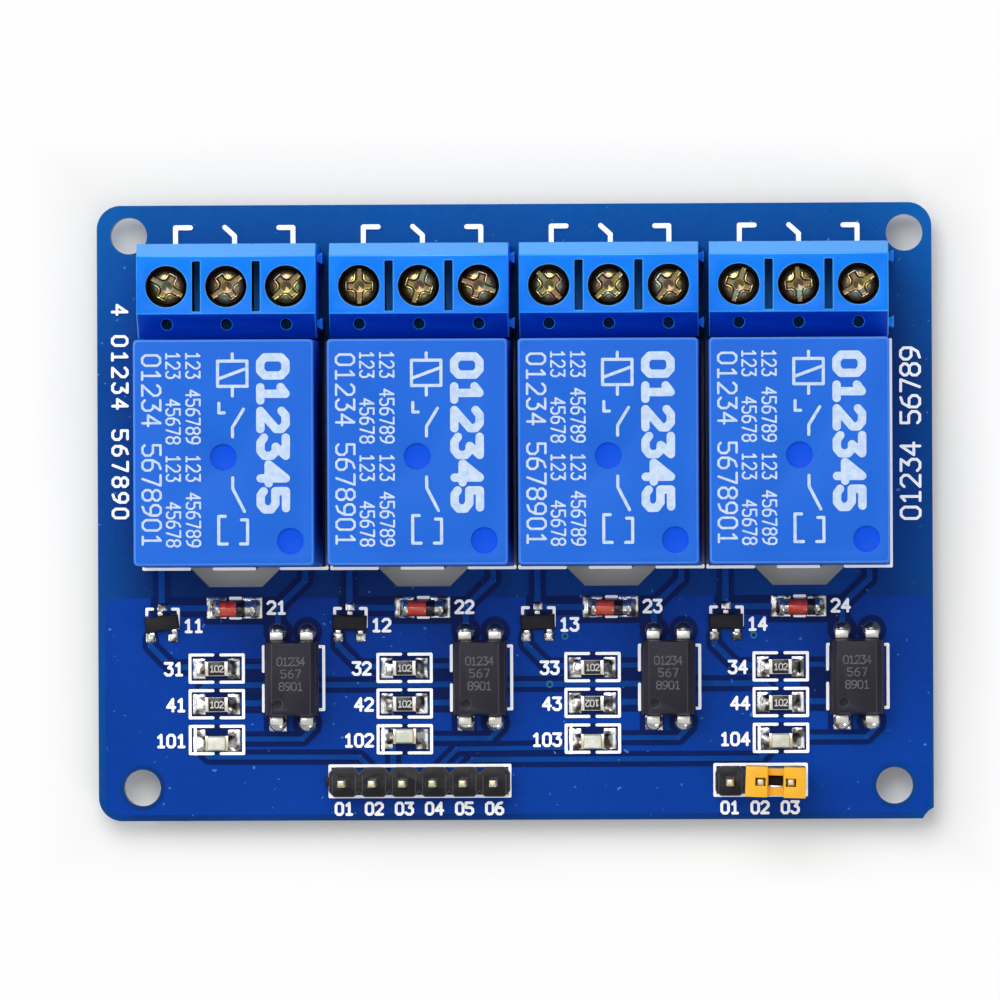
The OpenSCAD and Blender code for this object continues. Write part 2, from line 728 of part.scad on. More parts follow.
module resistors() {
    film = resistor_h / 10;
    color("black") for (k = [0:channels - 1], row = [0, 1]) at_chip(k, row) {
        upright(chip_l - 2 * chip_cap_l, chip_w, 0, resistor_h);
        for (s = [-1, 1]) translate([s * (chip_l - chip_cap_l) / 2, 0, 0])
            upright(chip_cap_l, chip_w, 0, resistor_h + film);
    }
}

module lamps() {
    color("honeydew") for (k = [0:channels - 1]) at_chip(k, 2) {
        upright(chip_l, chip_w, 0, lamp_base_h);
        translate([0, 0, lamp_base_h]) drafted_box(chip_l - chip_cap_l, chip_w, lamp_top_h, lamp_top_h / 5);
    }
}

// ---- headers and jumper ----

module header_body(n) {
    half = pin_pitch / 2;
    linear_extrude(cell_h) difference() {
        for (j = [0:n - 1]) translate([pin_x(j, n), 0])
            polygon([[-half, -cell_d / 2 + cell_notch], [-half + cell_notch, -cell_d / 2],
                     [half - cell_notch, -cell_d / 2], [half, -cell_d / 2 + cell_notch],
                     [half, cell_d / 2 - cell_notch], [half - cell_notch, cell_d / 2],
                     [-half + cell_notch, cell_d / 2], [-half, cell_d / 2 - cell_notch]]);
        for (j = [0:n - 1]) translate([pin_x(j, n), 0]) square(pin_w, center = true);
    }
}

module header_pins(list) {
    for (p = list) translate([p[0], p[1], 0])
        square_pin(pin_w, tail - pin_tail, deck + cell_h + pin_up, pin_tip);
}

module input_header() {
    color("black") translate([input_mid, header_y, deck]) header_body(input_pins);
}

module input_pins() {
    color("silver") header_pins(input_pin_list);
}

module power_header() {
    color("black") translate([power_mid, header_y, deck]) header_body(power_pins);
}

module power_pins() {
    color("silver") header_pins(power_pin_list);
}

module at_jumper() {
    translate([power_mid + pin_pitch / 2, header_y, deck + cell_h + cap_gap]) children();
}

// Two sockets joined by a window, open above and below
module jumper_cap() {
    color("gold") at_jumper() rotate([0, 0, cap_turn]) difference() {
        upright(cap_w, cap_d, 0, cap_h);
        for (s = [-1, 1]) translate([s * pin_pitch / 2, 0, 0]) upright(socket_w, socket_d, -1, cap_h + 1);
        upright(window_w, socket_d / 2, -1, clip_h + 1);
        translate([0, -cap_d / 2, 0]) upright(window_w, cap_d / 3, cap_h / 2, cap_h + 1);
    }
}

// Strip from pin to pin, turned down along both of them
module jumper_clip() {
    color("silver") at_jumper() {
        in = pin_pitch / 2 - pin_w / 2;
        for (s = [-1, 1]) translate([s * (in - clip_t / 2), 0, 0])
            upright(clip_t, pin_w, clip_lift, clip_h);
        upright(2 * in, pin_w, clip_h - clip_t, clip_h);
    }
}

// ---- solder ----

// Cone under the board round a pin that passes through it
module cone(p, h) {
    r = drill_d(p) / 2 + cone_rim;
    translate([p[0], p[1], tail]) mirror([0, 0, 1]) difference() {
        rotate_extrude() polygon([[0, 0], [r, 0], [r * 0.72, h * 0.28], [r * 0.52, h], [0, h]]);
        upright(p[2], p[3], -1, h + 1);
    }
}

// Dome on the board's face round an optocoupler's pin
module dome(p) {
    ball_r = (pow(dome_r, 2) + pow(dome_h, 2)) / (2 * dome_h);
    translate([p[0], p[1], deck]) difference() {
        rotate_extrude() intersection() {
            square([dome_r, dome_h]);
            translate([0, dome_h - ball_r]) circle(ball_r);
        }
        upright(p[2], p[3], -1, dome_h + 1);
    }
}

// Hollow fillet that climbs the end of a piece soldered on the face
module fillet(l, w, h) {
    rotate([90, 0, 0]) linear_extrude(w, center = true)
        polygon([[0, 0], [l, 0], [l, h * 0.15], [l * 0.45, h * 0.35], [l * 0.15, h * 0.7], [0, h]]);
}

module chip_fillets() {
    for (k = [0:channels - 1], row = [0:2], s = [0, 180]) at_chip(k, row) rotate([0, 0, s])
        translate([chip_l / 2, 0, 0]) fillet(fillet_l, chip_w, row == 2 ? lamp_base_h : resistor_h);
}

module diode_fillets() {
    for (k = [0:channels - 1], s = [0, 180]) translate([channel_x(k), diode_y, deck]) rotate([0, 0, s])
        translate([diode_l / 2, 0, 0]) fillet(fillet_l * 0.75, diode_d, diode_d / 2);
}

module transistor_fillets() {
    for (k = [0:channels - 1], f = transistor_feet) at_transistor(k)
        translate([f[0], f[1] * (transistor_span / 2 + foot_t), 0]) rotate([0, 0, 90 * f[1]])
            fillet(fillet_l / 2, foot_w * 2, foot_t);
}

module solder() {
    color("gainsboro") {
        for (p = concat(relay_pin_list, terminal_pin_list)) cone(p, cone_h);
        for (p = concat(input_pin_list, power_pin_list, opto_pin_list)) cone(p, cone_h * 0.7);
        for (p = opto_pin_list) dome(p);
        chip_fillets();
        diode_fillets();
        transistor_fillets();
    }
}

board();
for (k = [0:channels - 1]) {
    terminal_block(k);
    terminal_contacts(k);
    relay_cover(k);
    relay_base(k);
    optocoupler(k);
}
for (n = [0:way_count - 1]) {
    terminal_screw(n);
    wire_guard(n);
}
relay_pins();
optocoupler_leads();
diode_glass();
diode_end_caps();
transistors();
transistor_leads();
resistors();
lamps();
input_header();
input_pins();
power_header();
power_pins();
jumper_cap();
jumper_clip();
solder();
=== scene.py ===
import json
import math

import bmesh
import bpy
from mathutils import Matrix, Quaternion, Vector


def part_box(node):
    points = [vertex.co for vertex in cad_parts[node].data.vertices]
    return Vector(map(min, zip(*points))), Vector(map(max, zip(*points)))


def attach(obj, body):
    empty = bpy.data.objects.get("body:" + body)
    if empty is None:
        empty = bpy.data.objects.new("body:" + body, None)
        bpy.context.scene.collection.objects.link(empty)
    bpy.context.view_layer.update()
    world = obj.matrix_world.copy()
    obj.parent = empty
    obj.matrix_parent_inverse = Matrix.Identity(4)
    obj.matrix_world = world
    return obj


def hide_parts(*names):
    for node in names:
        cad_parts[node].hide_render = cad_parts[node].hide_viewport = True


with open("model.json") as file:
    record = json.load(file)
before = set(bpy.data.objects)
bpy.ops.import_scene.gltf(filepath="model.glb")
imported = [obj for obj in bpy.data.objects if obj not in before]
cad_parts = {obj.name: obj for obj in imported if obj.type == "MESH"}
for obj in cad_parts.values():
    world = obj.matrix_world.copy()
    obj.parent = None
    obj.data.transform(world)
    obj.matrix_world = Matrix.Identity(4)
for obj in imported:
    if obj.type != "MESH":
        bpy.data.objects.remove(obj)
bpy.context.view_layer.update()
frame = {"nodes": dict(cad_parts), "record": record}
mm = 0.001
channels = 4

# where things are, read from the frame


def middle(node):
    low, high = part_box(node)
    return (Vector(low) + Vector(high)) / 2


def top(node):
    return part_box(node)[1][2]


layout = {"optoAside": 4.8 * mm}  # an optocoupler stands this far right of its channel's middle line

deck = top("board")
boardLow, boardHigh = [Vector(v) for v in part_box("board")]
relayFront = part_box("relay_cover_1")[0][1]
channelX = [middle(f"optocoupler_{k + 1}").x - layout["optoAside"] for k in range(channels)]
print("frame read: deck at", round(deck / mm, 2), "mm, channels at", [round(x / mm, 2) for x in channelX])


def local(k, x, y):
    # a point given in mm from channel k's middle line and from the relays' front edge
    return channelX[k] + x * mm, relayFront + y * mm


# node graphs


class Wire:
    # one output socket, with arithmetic that adds Math nodes
    def __init__(self, graph, socket):
        self.graph, self.socket = graph, socket

    def math(self, operation, *others, clamp=False):
        values = dict(enumerate((self,) + others))
        return self.graph.add("ShaderNodeMath", {"operation": operation, "use_clamp": clamp}, values)

    def __add__(self, other):
        return self.math("ADD", other)

    __radd__ = __add__

    def __sub__(self, other):
        return self.math("SUBTRACT", other)

    def __rsub__(self, other):
        return self * -1 + other

    def __mul__(self, other):
        return self.math("MULTIPLY", other)

    __rmul__ = __mul__

    def __truediv__(self, other):
        return self.math("DIVIDE", other)

    def __gt__(self, other):
        return self.math("GREATER_THAN", other)

    def __lt__(self, other):
        return self.math("LESS_THAN", other)

    def size(self):
        return self.math("ABSOLUTE")

    def clip(self):
        return self.math("ADD", 0.0, clamp=True)


class Graph:
    def __init__(self, tree):
        self.tree = tree

    def add(self, kind, settings=None, sockets=None, out=0):
        node = self.tree.nodes.new(kind)
        for key, value in (settings or {}).items():
            if key == "stops":
                ramp = node.color_ramp
                while len(ramp.elements) < len(value):
                    ramp.elements.new(1)
                for element, (place, color) in zip(ramp.elements, value):
                    element.position, element.color = place, color
            else:
                setattr(node, key, value)
        for key, value in (sockets or {}).items():
            if isinstance(value, Wire):
                self.tree.links.new(value.socket, node.inputs[key])
            elif value is not None:
                node.inputs[key].default_value = value
        self.last = node
        return Wire(self, node.outputs[out]) if len(node.outputs) else None


def ink(r, g, b, a=1.0):
    # a display colour, 0 to 255, as the linear one that the shaders want
    def linear(v):
        v /= 255
        return v / 12.92 if v < 0.04045 else ((v + 0.055) / 1.055) ** 2.4
    return linear(r), linear(g), linear(b), a


class Finish(Graph):
    # a material: the graph's nodes between Object coordinates and one Principled shader
    def __init__(self, name):
        self.material = bpy.data.materials.new(name)
        self.material.use_nodes = True
        super().__init__(self.material.node_tree)
        self.tree.nodes.clear()
        self.place = self.add("ShaderNodeTexCoord", out=3)

    def noise(self, scale, detail, stretch=None):
        place = self.place
        if stretch:
            place = self.add("ShaderNodeMapping", None, {"Vector": place, "Scale": stretch})
        return self.add("ShaderNodeTexNoise", None, {"Vector": place, "Scale": scale, "Detail": detail})

    def axis(self, name):
        self.add("ShaderNodeSeparateXYZ", None, {0: self.place})
        return Wire(self, self.last.outputs[name])

    def facing(self, name):
        self.add("ShaderNodeNewGeometry")
        self.add("ShaderNodeSeparateXYZ", None, {0: Wire(self, self.last.outputs["Normal"])})
        return Wire(self, self.last.outputs[name])

    def blend(self, factor, first, second):
        return self.add("ShaderNodeMix", {"data_type": "RGBA"}, {0: factor, 6: first, 7: second}, out=2)

    def ramp(self, value, *stops):
        return self.add("ShaderNodeValToRGB", {"stops": stops}, {0: value})

    def span(self, value, low, high, toLow=0.0, toHigh=1.0):
        return self.add("ShaderNodeMapRange", {"clamp": True},
                        {0: value, 1: low, 2: high, 3: toLow, 4: toHigh})

    def bump(self, height, strength, depth):
        # depth in mm
        return self.add("ShaderNodeBump", None, {"Height": height, "Strength": strength, "Distance": depth * mm})

    def cloudy(self, scale, detail, first, second, low=0.3, high=0.7):
        # two colours in soft patches
        return self.blend(self.span(self.noise(scale, detail), low, high), first, second)

    def grained(self, pattern, smooth, dull, strength, depth):
        # roughness from smooth to dull, and bumps, both from one pattern
        return {"rough": self.span(pattern, 0.3, 0.7, smooth, dull), "normal": self.bump(pattern, strength, depth)}

    def close(self, **sockets):
        names = {"color": "Base Color", "rough": "Roughness", "metal": "Metallic", "normal": "Normal",
                 "coat": "Coat Weight", "coatRough": "Coat Roughness", "specular": "Specular IOR Level",
                 "glow": "Emission Strength", "glowColor": "Emission Color",
                 "under": "Subsurface Weight", "underDepth": "Subsurface Scale"}
        shader = self.add("ShaderNodeBsdfPrincipled", None, {names[k]: v for k, v in sockets.items()})
        self.add("ShaderNodeOutputMaterial", None, {"Surface": shader})
        return self.material


# finishes

boardLook = {
    "mask": ink(0, 66, 148), "maskDark": ink(0, 46, 112), "maskPaintedLight": ink(0, 96, 176),
    "laminate": ink(150, 160, 104), "laminateDark": ink(120, 134, 84), "dust": ink(120, 190, 230),
    # rim is a painted highlight on the sloping sides of copper under the mask
    "rim": ink(60, 140, 226), "shine": 0.07,
    "rearFade": 14 * mm, "sideFade": 3.75 * mm,  # how far in from the edges the mask is painted paler, as painted light
    "rearPaintedLight": 0.75, "sidePaintedLight": 0.35, "dustShare": 0.4, "rimHighlightShare": 0.35,
}
halfUp, flatFrom = 0.5, 0.97  # how far up a face points when it counts as a top, loosely or strictly


def dusted(f, tint):
    return f.blend(f.span(f.noise(2600, 0), 0.83, 0.86) * boardLook["dustShare"], tint, boardLook["dust"])


def maskFinish():
    f, b = Finish("solder mask over laminate"), boardLook
    tint = f.cloudy(55, 3, b["maskDark"], b["mask"], 0.35)
    # towards the rear and the sides the mask is painted paler and tealer: painted light, with the middle left darker as
    # painted shade from the relays
    rear = f.span(f.axis("Y"), boardHigh.y - b["rearFade"], boardHigh.y)
    side = f.span(f.axis("X").size(), boardHigh.x - b["sideFade"], boardHigh.x)
    tint = dusted(f, f.blend((rear * b["rearPaintedLight"] + side * b["sidePaintedLight"]).clip(), tint, b["maskPaintedLight"]))
    core = f.blend(f.span(f.noise(2600, 1, stretch=(1, 1, 6)), 0.3, 0.7), b["laminate"], b["laminateDark"])
    tint = f.blend(f.facing("Z").size() > halfUp, core, tint)
    return f.close(color=tint, specular=b["shine"], **f.grained(f.noise(900, 2), 0.2, 0.34, 0.08, 0.02))


def copperFinish(name, base, deep):
    f, b = Finish(name), boardLook
    tint = dusted(f, f.cloudy(70, 3, deep, base, 0.3, 0.72))
    # faces that don't point straight up are painted lighter: a painted highlight along the tracks' edges
    tint = f.blend((f.facing("Z") < flatFrom) * b["rimHighlightShare"], tint, b["rim"])
    return f.close(color=tint, specular=b["shine"], **f.grained(f.noise(1500, 2), 0.2, 0.32, 0.06, 0.02))


def plasticFinish(name, base, deep, rough=0.42, grain=1400, strength=0.12, coat=0.0, shine=0.22, sunk=None):
    # sunk is a top's height and the colour of the marks pressed into it
    f = Finish(name)
    tint = f.cloudy(160, 3, deep, base)
    if sunk:
        z = f.axis("Z")
        height, shade = sunk
        pressed = (z < height - 0.03 * mm) * (z > height - 0.45 * mm) * (f.facing("Z") > flatFrom)
        tint = f.blend(pressed, tint, shade)
    return f.close(color=tint, coat=coat, coatRough=0.2, specular=shine,
                   **f.grained(f.noise(grain * 2, 3), rough - 0.06, rough + 0.06, strength, 0.03))


relayLook = {
    # rim is a painted highlight on the cover's rounded rim and the edges of its marks
    "base": ink(36, 110, 224), "deep": ink(30, 103, 217), "rim": ink(96, 156, 252), "mark": ink(0, 82, 228),
    "markDepth": 0.12 * mm, "rimHighlightShare": 0.55,
}


def relayFinish():
    f, r = Finish("blue relay plastic"), relayLook
    up = f.facing("Z")
    sunk = (f.axis("Z") < top("relay_cover_1") - r["markDepth"]) * (up > 0.9)
    tint = f.blend(sunk, f.cloudy(120, 2, r["deep"], r["base"]), r["mark"])
    # faces that slope between up and sideways are painted lighter: a painted highlight
    tint = f.blend((up > 0.2) * (up < flatFrom) * r["rimHighlightShare"], tint, r["rim"])
    return f.close(color=tint, specular=0.1, **f.grained(f.noise(2800, 3), 0.4, 0.52, 0.14, 0.03))


terminalLook = {"base": ink(8, 134, 252), "deep": ink(4, 124, 244), "rear": ink(98, 172, 254),
                "front": ink(4, 70, 196), "lean": 0.3}


def terminalFinish():
    # the rear bevel catches the light and the front slope lies in shade
    f, t = Finish("bright blue moulded plastic"), terminalLook
    lean, up = f.facing("Y"), f.facing("Z")
    tilted = (up > t["lean"]) * (up < flatFrom)
    tint = f.blend((lean > t["lean"]) * tilted, f.cloudy(160, 3, t["deep"], t["base"]), t["rear"])
    tint = f.blend((lean < -t["lean"]) * tilted, tint, t["front"])
    return f.close(color=tint, specular=0.12, **f.grained(f.noise(2800, 3), 0.34, 0.46, 0.12, 0.03))


def solderFinish():
    f = Finish("bright solder")
    # dark and bright patches in the metal's colour are painted reflections
    tint = f.cloudy(1250, 1, ink(92, 88, 84), ink(246, 246, 244), 0.4, 0.58)
    return f.close(color=tint, metal=0.94, **f.grained(f.noise(2700, 1), 0.14, 0.3, 0.26, 0.14))


def domeFinish():
    # bright on the side towards the board's front edge and dull behind, as under a lamp held low
    f = Finish("smooth solder")
    tint = f.blend(f.span(f.facing("Y"), -0.3, 0.12), ink(252, 252, 250), ink(112, 110, 108))
    tint = f.blend(f.span(f.facing("Z"), 0.5, 0.62), ink(250, 250, 250), tint)
    return f.close(color=tint, metal=0.92, **f.grained(f.noise(420, 2), 0.14, 0.24, 0.05, 0.04))


def metalFinish(name, base, deep, rough=0.22, scale=700, strength=0.1, below=None):
    # below is the colour of the parts under the board
    f = Finish(name)
    patch = f.noise(scale, 3)
    tint = f.blend(f.span(patch, 0.3, 0.7), deep, base)
    if below:
        tint = f.blend(f.axis("Z") < boardLow.z, tint, below)
    return f.close(color=tint, metal=1.0, rough=f.span(patch, 0.25, 0.75, rough * 0.6, rough * 1.5),
                   normal=f.bump(f.noise(scale * 2, 2), strength, 0.04))


def zincFinish():
    f = Finish("yellow passivated zinc")
    patch = f.noise(620, 2)
    head = top("terminal_screw_1")  # the recess darkens with its depth below this
    tint = f.ramp(patch, (0.25, ink(180, 186, 156)), (0.4, ink(196, 184, 116)), (0.5, ink(178, 158, 112)),
                  (0.58, ink(184, 150, 132)), (0.66, ink(150, 172, 140)), (0.78, ink(204, 200, 186)))
    tint = f.blend(f.span(f.axis("Z"), head - 0.44 * mm, head - 0.2 * mm, 0.62, 0.0), tint, ink(60, 44, 26))
    return f.close(color=tint, metal=1.0, rough=f.span(patch, 0.3, 0.7, 0.16, 0.3),
                   normal=f.bump(f.noise(2400, 2), 0.2, 0.04))


def printFinish(name, base, deep, glow=0.0):
    f = Finish(name)
    speck = f.noise(2600, 3)
    tint = f.blend(f.span(speck, 0.35, 0.75), base, deep)
    # a glow above nought makes the print shine as painted light
    return f.close(color=tint, glow=glow, glowColor=base, **f.grained(speck, 0.45, 0.6, 0.1, 0.02))


def glassFinish():
    f = Finish("red diode glass")
    across = f.noise(900, 2)
    tint = f.blend(f.span(across, 0.35, 0.65), ink(222, 48, 22), ink(246, 88, 54))
    # the glass is painted darker where it faces sideways: painted shade
    tint = f.blend(f.span(f.facing("Z"), 0.3, 0.9), ink(104, 12, 8), tint)
    return f.close(color=tint, rough=f.span(across, 0.3, 0.7, 0.05, 0.12), coat=1.0, coatRough=0.04)


def lampFinish():
    f = Finish("clear pale resin")
    glow = f.noise(1300, 2)
    tint = f.blend(f.span(glow, 0.35, 0.65), ink(216, 222, 200), ink(246, 242, 232))
    return f.close(color=tint, rough=f.span(glow, 0.3, 0.7, 0.1, 0.2), under=0.4, underDepth=0.0004, coat=0.6,
                   coatRough=0.06)


finish = {
    "mask": maskFinish(),
    "pour": copperFinish("solder mask over copper", ink(0, 66, 168), ink(0, 58, 154)),
    "gap": copperFinish("solder mask between tracks", ink(0, 34, 104), ink(0, 27, 90)),
    "track": copperFinish("solder mask over tracks", ink(0, 72, 160), ink(0, 64, 148)),
    "viaRim": copperFinish("mask over a copper ring", ink(40, 130, 190), ink(20, 100, 166)),
    # the white print glows a little: painted light that lifts it where it lies in shade
    "silk": printFinish("white print", ink(254, 254, 254), ink(240, 246, 252), 0.26),
    "silkShaded": printFinish("white print in shade", ink(124, 120, 152), ink(108, 106, 136)),
    "relayPrint": printFinish("pale print on blue plastic", ink(208, 226, 248), ink(176, 204, 244)),
    "valuePrint": printFinish("pale print on black film", ink(226, 226, 220), ink(190, 190, 186)),
    "opticPrint": printFinish("grey marking", ink(98, 96, 100), ink(70, 68, 74)),
    "terminal": terminalFinish(),
    "terminalDeep": plasticFinish("blue plastic in deep shade", ink(10, 14, 58), ink(8, 10, 44), 0.5, shine=0.1),
    # the housings' bevel faces get a lighter blue: a painted highlight
    "terminalEdgeHighlight": plasticFinish("polished blue edge", ink(70, 176, 252), ink(48, 158, 250), 0.26),
    "relay": relayFinish(),
    "relayBase": plasticFinish("dark base plate plastic", ink(24, 34, 74), ink(18, 26, 60), 0.5),
    "tinned": metalFinish("tinned metal", ink(222, 220, 214), ink(196, 194, 188), 0.24),
    "brass": metalFinish("pale plated pin metal", ink(228, 218, 188), ink(208, 196, 160), 0.3),
    # the clamp cage is painted dark above the board as painted shade in the screw wells; below the board its pins keep
    # their pale colour
    "cage": metalFinish("dull dark clamp metal", ink(84, 78, 72), ink(64, 58, 54), 0.4,
                        below=ink(210, 208, 202)),
    "zinc": zincFinish(),
    "black": plasticFinish("black header plastic", ink(34, 33, 38), ink(26, 25, 30), 0.44, 1800, 0.15),
    "smallBlack": plasticFinish("black moulded epoxy", ink(34, 33, 36), ink(26, 25, 28), 0.5, 2600, 0.25),
    # light grey lines on the header's top: painted highlights along the cells' edges
    "ridge": plasticFinish("rubbed black plastic", ink(92, 92, 98), ink(60, 60, 66), 0.3, 900),
    # the headers' bevel faces are painted lighter: a painted highlight
    "blackEdgeHighlight": plasticFinish("black plastic edge", ink(74, 74, 80), ink(58, 58, 64), 0.3),
    # the optocouplers' bevel faces are painted lighter grey: a painted highlight
    "optoEdgeHighlight": plasticFinish("worn dark grey edge", ink(72, 69, 80), ink(60, 57, 68), 0.36),
    "opto": plasticFinish("dark grey epoxy", ink(42, 39, 50), ink(36, 33, 44), 0.46, 2200, 0.2,
                          sunk=(top("optocoupler_1"), ink(20, 17, 26))),
    "glass": glassFinish(),
    "band": plasticFinish("black glass band", ink(28, 18, 22), ink(22, 12, 16), 0.15, 900, 0.03, 1.0),
    "film": plasticFinish("black resistor film", ink(30, 28, 28), ink(22, 20, 20), 0.3, 2600, 0.1, 0.4),
    "ceramic": plasticFinish("white chip ceramic", ink(222, 218, 206), ink(206, 200, 186), 0.4),
    "carrier": plasticFinish("pale lamp carrier", ink(206, 212, 186), ink(186, 194, 166), 0.36),
    "chipEnd": metalFinish("tinned chip end", ink(242, 238, 228), ink(226, 220, 206), 0.3, 1500, 0.3),
    "lamp": lampFinish(),
    "cap": plasticFinish("orange yellow plastic", ink(254, 196, 54), ink(250, 182, 40), 0.36, 1400, 0.08),
    "dome": domeFinish(),
    "solder": solderFinish(),
}
print("finishes made:", len(finish))


# pieces


def link(obj):
    bpy.context.scene.collection.objects.link(obj)
    return obj


def drop(obj):
    data = obj.data
    bpy.data.objects.remove(obj)
    if isinstance(data, bpy.types.Mesh):
        bpy.data.meshes.remove(data)


def softened(mesh, angle=32):
    # a face with many corners is a flat area with bevels round it, which shades best flat
    mesh.polygons.foreach_set("use_smooth", [len(face.vertices) < 12 for face in mesh.polygons])
    mesh.set_sharp_from_angle(angle=math.radians(angle))
    return mesh


def piece(name, mesh, look, body="module", replaces=(), angle=32, edges=()):
    # edges are the finishes of the faces that carry material numbers 1, 2 and so on
    mesh.name = name
    parts = [face.material_index for face in mesh.polygons]
    mesh.materials.clear()
    for key in (look, *edges):
        mesh.materials.append(finish[key])
    if edges:
        mesh.polygons.foreach_set("material_index", parts)
    obj = link(bpy.data.objects.new(name, softened(mesh, angle)))
    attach(obj, body)
    if replaces:
        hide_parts(*replaces)
    return obj


def built(obj):
    # the object's mesh with all its modifiers applied; the object itself goes
    depsgraph = bpy.context.evaluated_depsgraph_get()
    mesh = bpy.data.meshes.new_from_object(obj.evaluated_get(depsgraph), depsgraph=depsgraph)
    drop(obj)
    return mesh


def meshOf(points, faces):
    mesh = bpy.data.meshes.new("part")
    mesh.from_pydata([Vector(p) * mm for p in points], [], faces)
    mesh.update()
    return mesh


def reworked(mesh, work):
    # the same mesh after one bmesh job
    shape = bmesh.new()
    shape.from_mesh(mesh)
    work(shape)
    shape.to_mesh(mesh)
    shape.free()
    return mesh


def weld(shape):
    bmesh.ops.remove_doubles(shape, verts=shape.verts, dist=0.001 * mm)


def merged(*nodes, below=None):
    # one mesh with doubles merged and flat areas joined, from copies of CAD nodes
    shape = bmesh.new()
    for node in nodes:
        shape.from_mesh(frame["nodes"][node].data)
    weld(shape)
    if below is not None:
        bmesh.ops.delete(shape, geom=[v for v in shape.verts if v.co.z > below], context="VERTS")
    bmesh.ops.dissolve_limit(shape, angle_limit=math.radians(1), verts=shape.verts, edges=shape.edges)
    mesh = bpy.data.meshes.new("part")
    shape.to_mesh(mesh)
    shape.free()
    return mesh


def islands(node):
    # the lowest and highest corners of each separate solid of a CAD node, from left to right
    shape = bmesh.new()
    shape.from_mesh(frame["nodes"][node].data)
    weld(shape)
    seen, boxes = set(), []
    for start in shape.verts:
        if start in seen:
            continue
        seen.add(start)
        stack, group = [start], []
        while stack:
            vert = stack.pop()
            group.append(vert.co.copy())
            for other in (edge.other_vert(vert) for edge in vert.link_edges):
                if other not in seen:
                    seen.add(other)
                    stack.append(other)
        boxes.append((Vector(map(min, zip(*group))), Vector(map(max, zip(*group)))))
    shape.free()
    return sorted(boxes, key=lambda b: (round((b[0].x + b[1].x) / mm), b[0].y))


def bevelled(mesh, width, segments=2, angle=30, clamp=True):
    mesh.materials.clear()
    for _ in range(2):
        mesh.materials.append(None)
    obj = link(bpy.data.objects.new("bevelWork", mesh))
    bevel = obj.modifiers.new("edges", "BEVEL")
    bevel.width, bevel.segments, bevel.limit_method = width * mm, segments, "ANGLE"
    bevel.angle_limit = math.radians(angle)
    bevel.use_clamp_overlap, bevel.material = clamp, 1
    return built(obj)


# geometry trees


class Tree(Graph):
    # a Geometry Nodes tree with named inputs
    def __init__(self, name, inputs):
        tree = bpy.data.node_groups.new(name, "GeometryNodeTree")
        tree.interface.new_socket(name="Geometry", in_out="INPUT", socket_type="NodeSocketGeometry")
        for label, kind in inputs.items():
            tree.interface.new_socket(name=label, in_out="INPUT", socket_type="NodeSocket" + kind)
        tree.interface.new_socket(name="Geometry", in_out="OUTPUT", socket_type="NodeSocketGeometry")
        super().__init__(tree)
        self.start = tree.nodes.new("NodeGroupInput")

    def given(self, label):
        return Wire(self, self.start.outputs[label])

    def end(self, geometry):
        whole = self.add("GeometryNodeRealizeInstances", None, {0: geometry})
        whole = self.add("GeometryNodeSetMaterial", None, {0: whole, "Material": self.given("Material")})
        self.add("NodeGroupOutput", None, {0: whole})
        return self.tree


def grown(source, tree, values):
    # runs a tree over a source mesh and returns the plain mesh that it makes
    obj = link(bpy.data.objects.new("treeWork", source))
    modifier = obj.modifiers.new("tree", "NODES")
    modifier.node_group = tree
    for item in tree.interface.items_tree:
        if item.in_out == "INPUT" and item.name in values:
            modifier[item.identifier] = values[item.name]
    return built(obj)


jointStep = 0.0005 * mm  # the round ends of one segment lie this far apart in height


def stripTree():
    # flat strips with sloping sides along every edge, with round joints
    t = Tree("strips along paths", {"Width": "Float", "Height": "Float", "Slope": "Float", "Material": "Material"})
    width, height, slope = t.given("Width"), t.given("Height"), t.given("Slope")
    path = t.add("GeometryNodeMeshToCurve", None, {0: t.given("Geometry")})
    path = t.add("GeometryNodeSetCurveNormal", {"mode": "Z_UP"}, {0: path})
    t.add("GeometryNodeCurvePrimitiveQuadrilateral", {"mode": "TRAPEZOID"},
          {"Bottom Width": width, "Top Width": width - slope * 2, "Height": height, "Offset": 0.0})
    profile = Wire(t, t.last.outputs[0])
    strip = t.add("GeometryNodeCurveToMesh", None, {0: path, 1: profile, "Fill Caps": True})
    disc = t.add("GeometryNodeMeshCone", None, {"Vertices": 14, "Side Segments": 1, "Fill Segments": 1,
                 "Radius Top": width / 2 - slope, "Radius Bottom": width / 2, "Depth": height})
    disc = t.add("GeometryNodeTransform", None, {0: disc, "Translation": t.add(
        "ShaderNodeCombineXYZ", None, {2: height * -0.5 + jointStep})})
    second = t.add("GeometryNodeInputIndex").math("MODULO", 2) * jointStep
    spots = t.add("GeometryNodeSetPosition", None, {0: t.given("Geometry"), "Offset": t.add(
        "ShaderNodeCombineXYZ", None, {2: second})})
    joints = t.add("GeometryNodeInstanceOnPoints", None, {0: spots, "Instance": disc})
    both = t.add("GeometryNodeJoinGeometry", None, {0: strip})
    t.tree.links.new(joints.socket, t.last.inputs[0])
    return t.end(both)


def repeatTree():
    # one shape at every point, turned by the points' own angle
    t = Tree("shape at every place", {"Shape": "Object", "Material": "Material"})
    shape = t.add("GeometryNodeObjectInfo", {"transform_space": "ORIGINAL"}, {0: t.given("Shape")}, out=4)
    turn = t.add("GeometryNodeInputNamedAttribute", {"data_type": "FLOAT"}, {"Name": "turn"})
    t.add("ShaderNodeCombineXYZ", None, {2: turn})
    spin = Wire(t, t.last.outputs[0])
    spots = t.add("GeometryNodeInstanceOnPoints", None,
                  {0: t.given("Geometry"), "Instance": shape, "Rotation": spin})
    return t.end(spots)


strips, repeats = stripTree(), repeatTree()

# each segment of a strip lies a hair above the last, so that no two tops share a plane
segmentStep = 0.0016
segmentLevels = {"copper": 7, "print": 16}


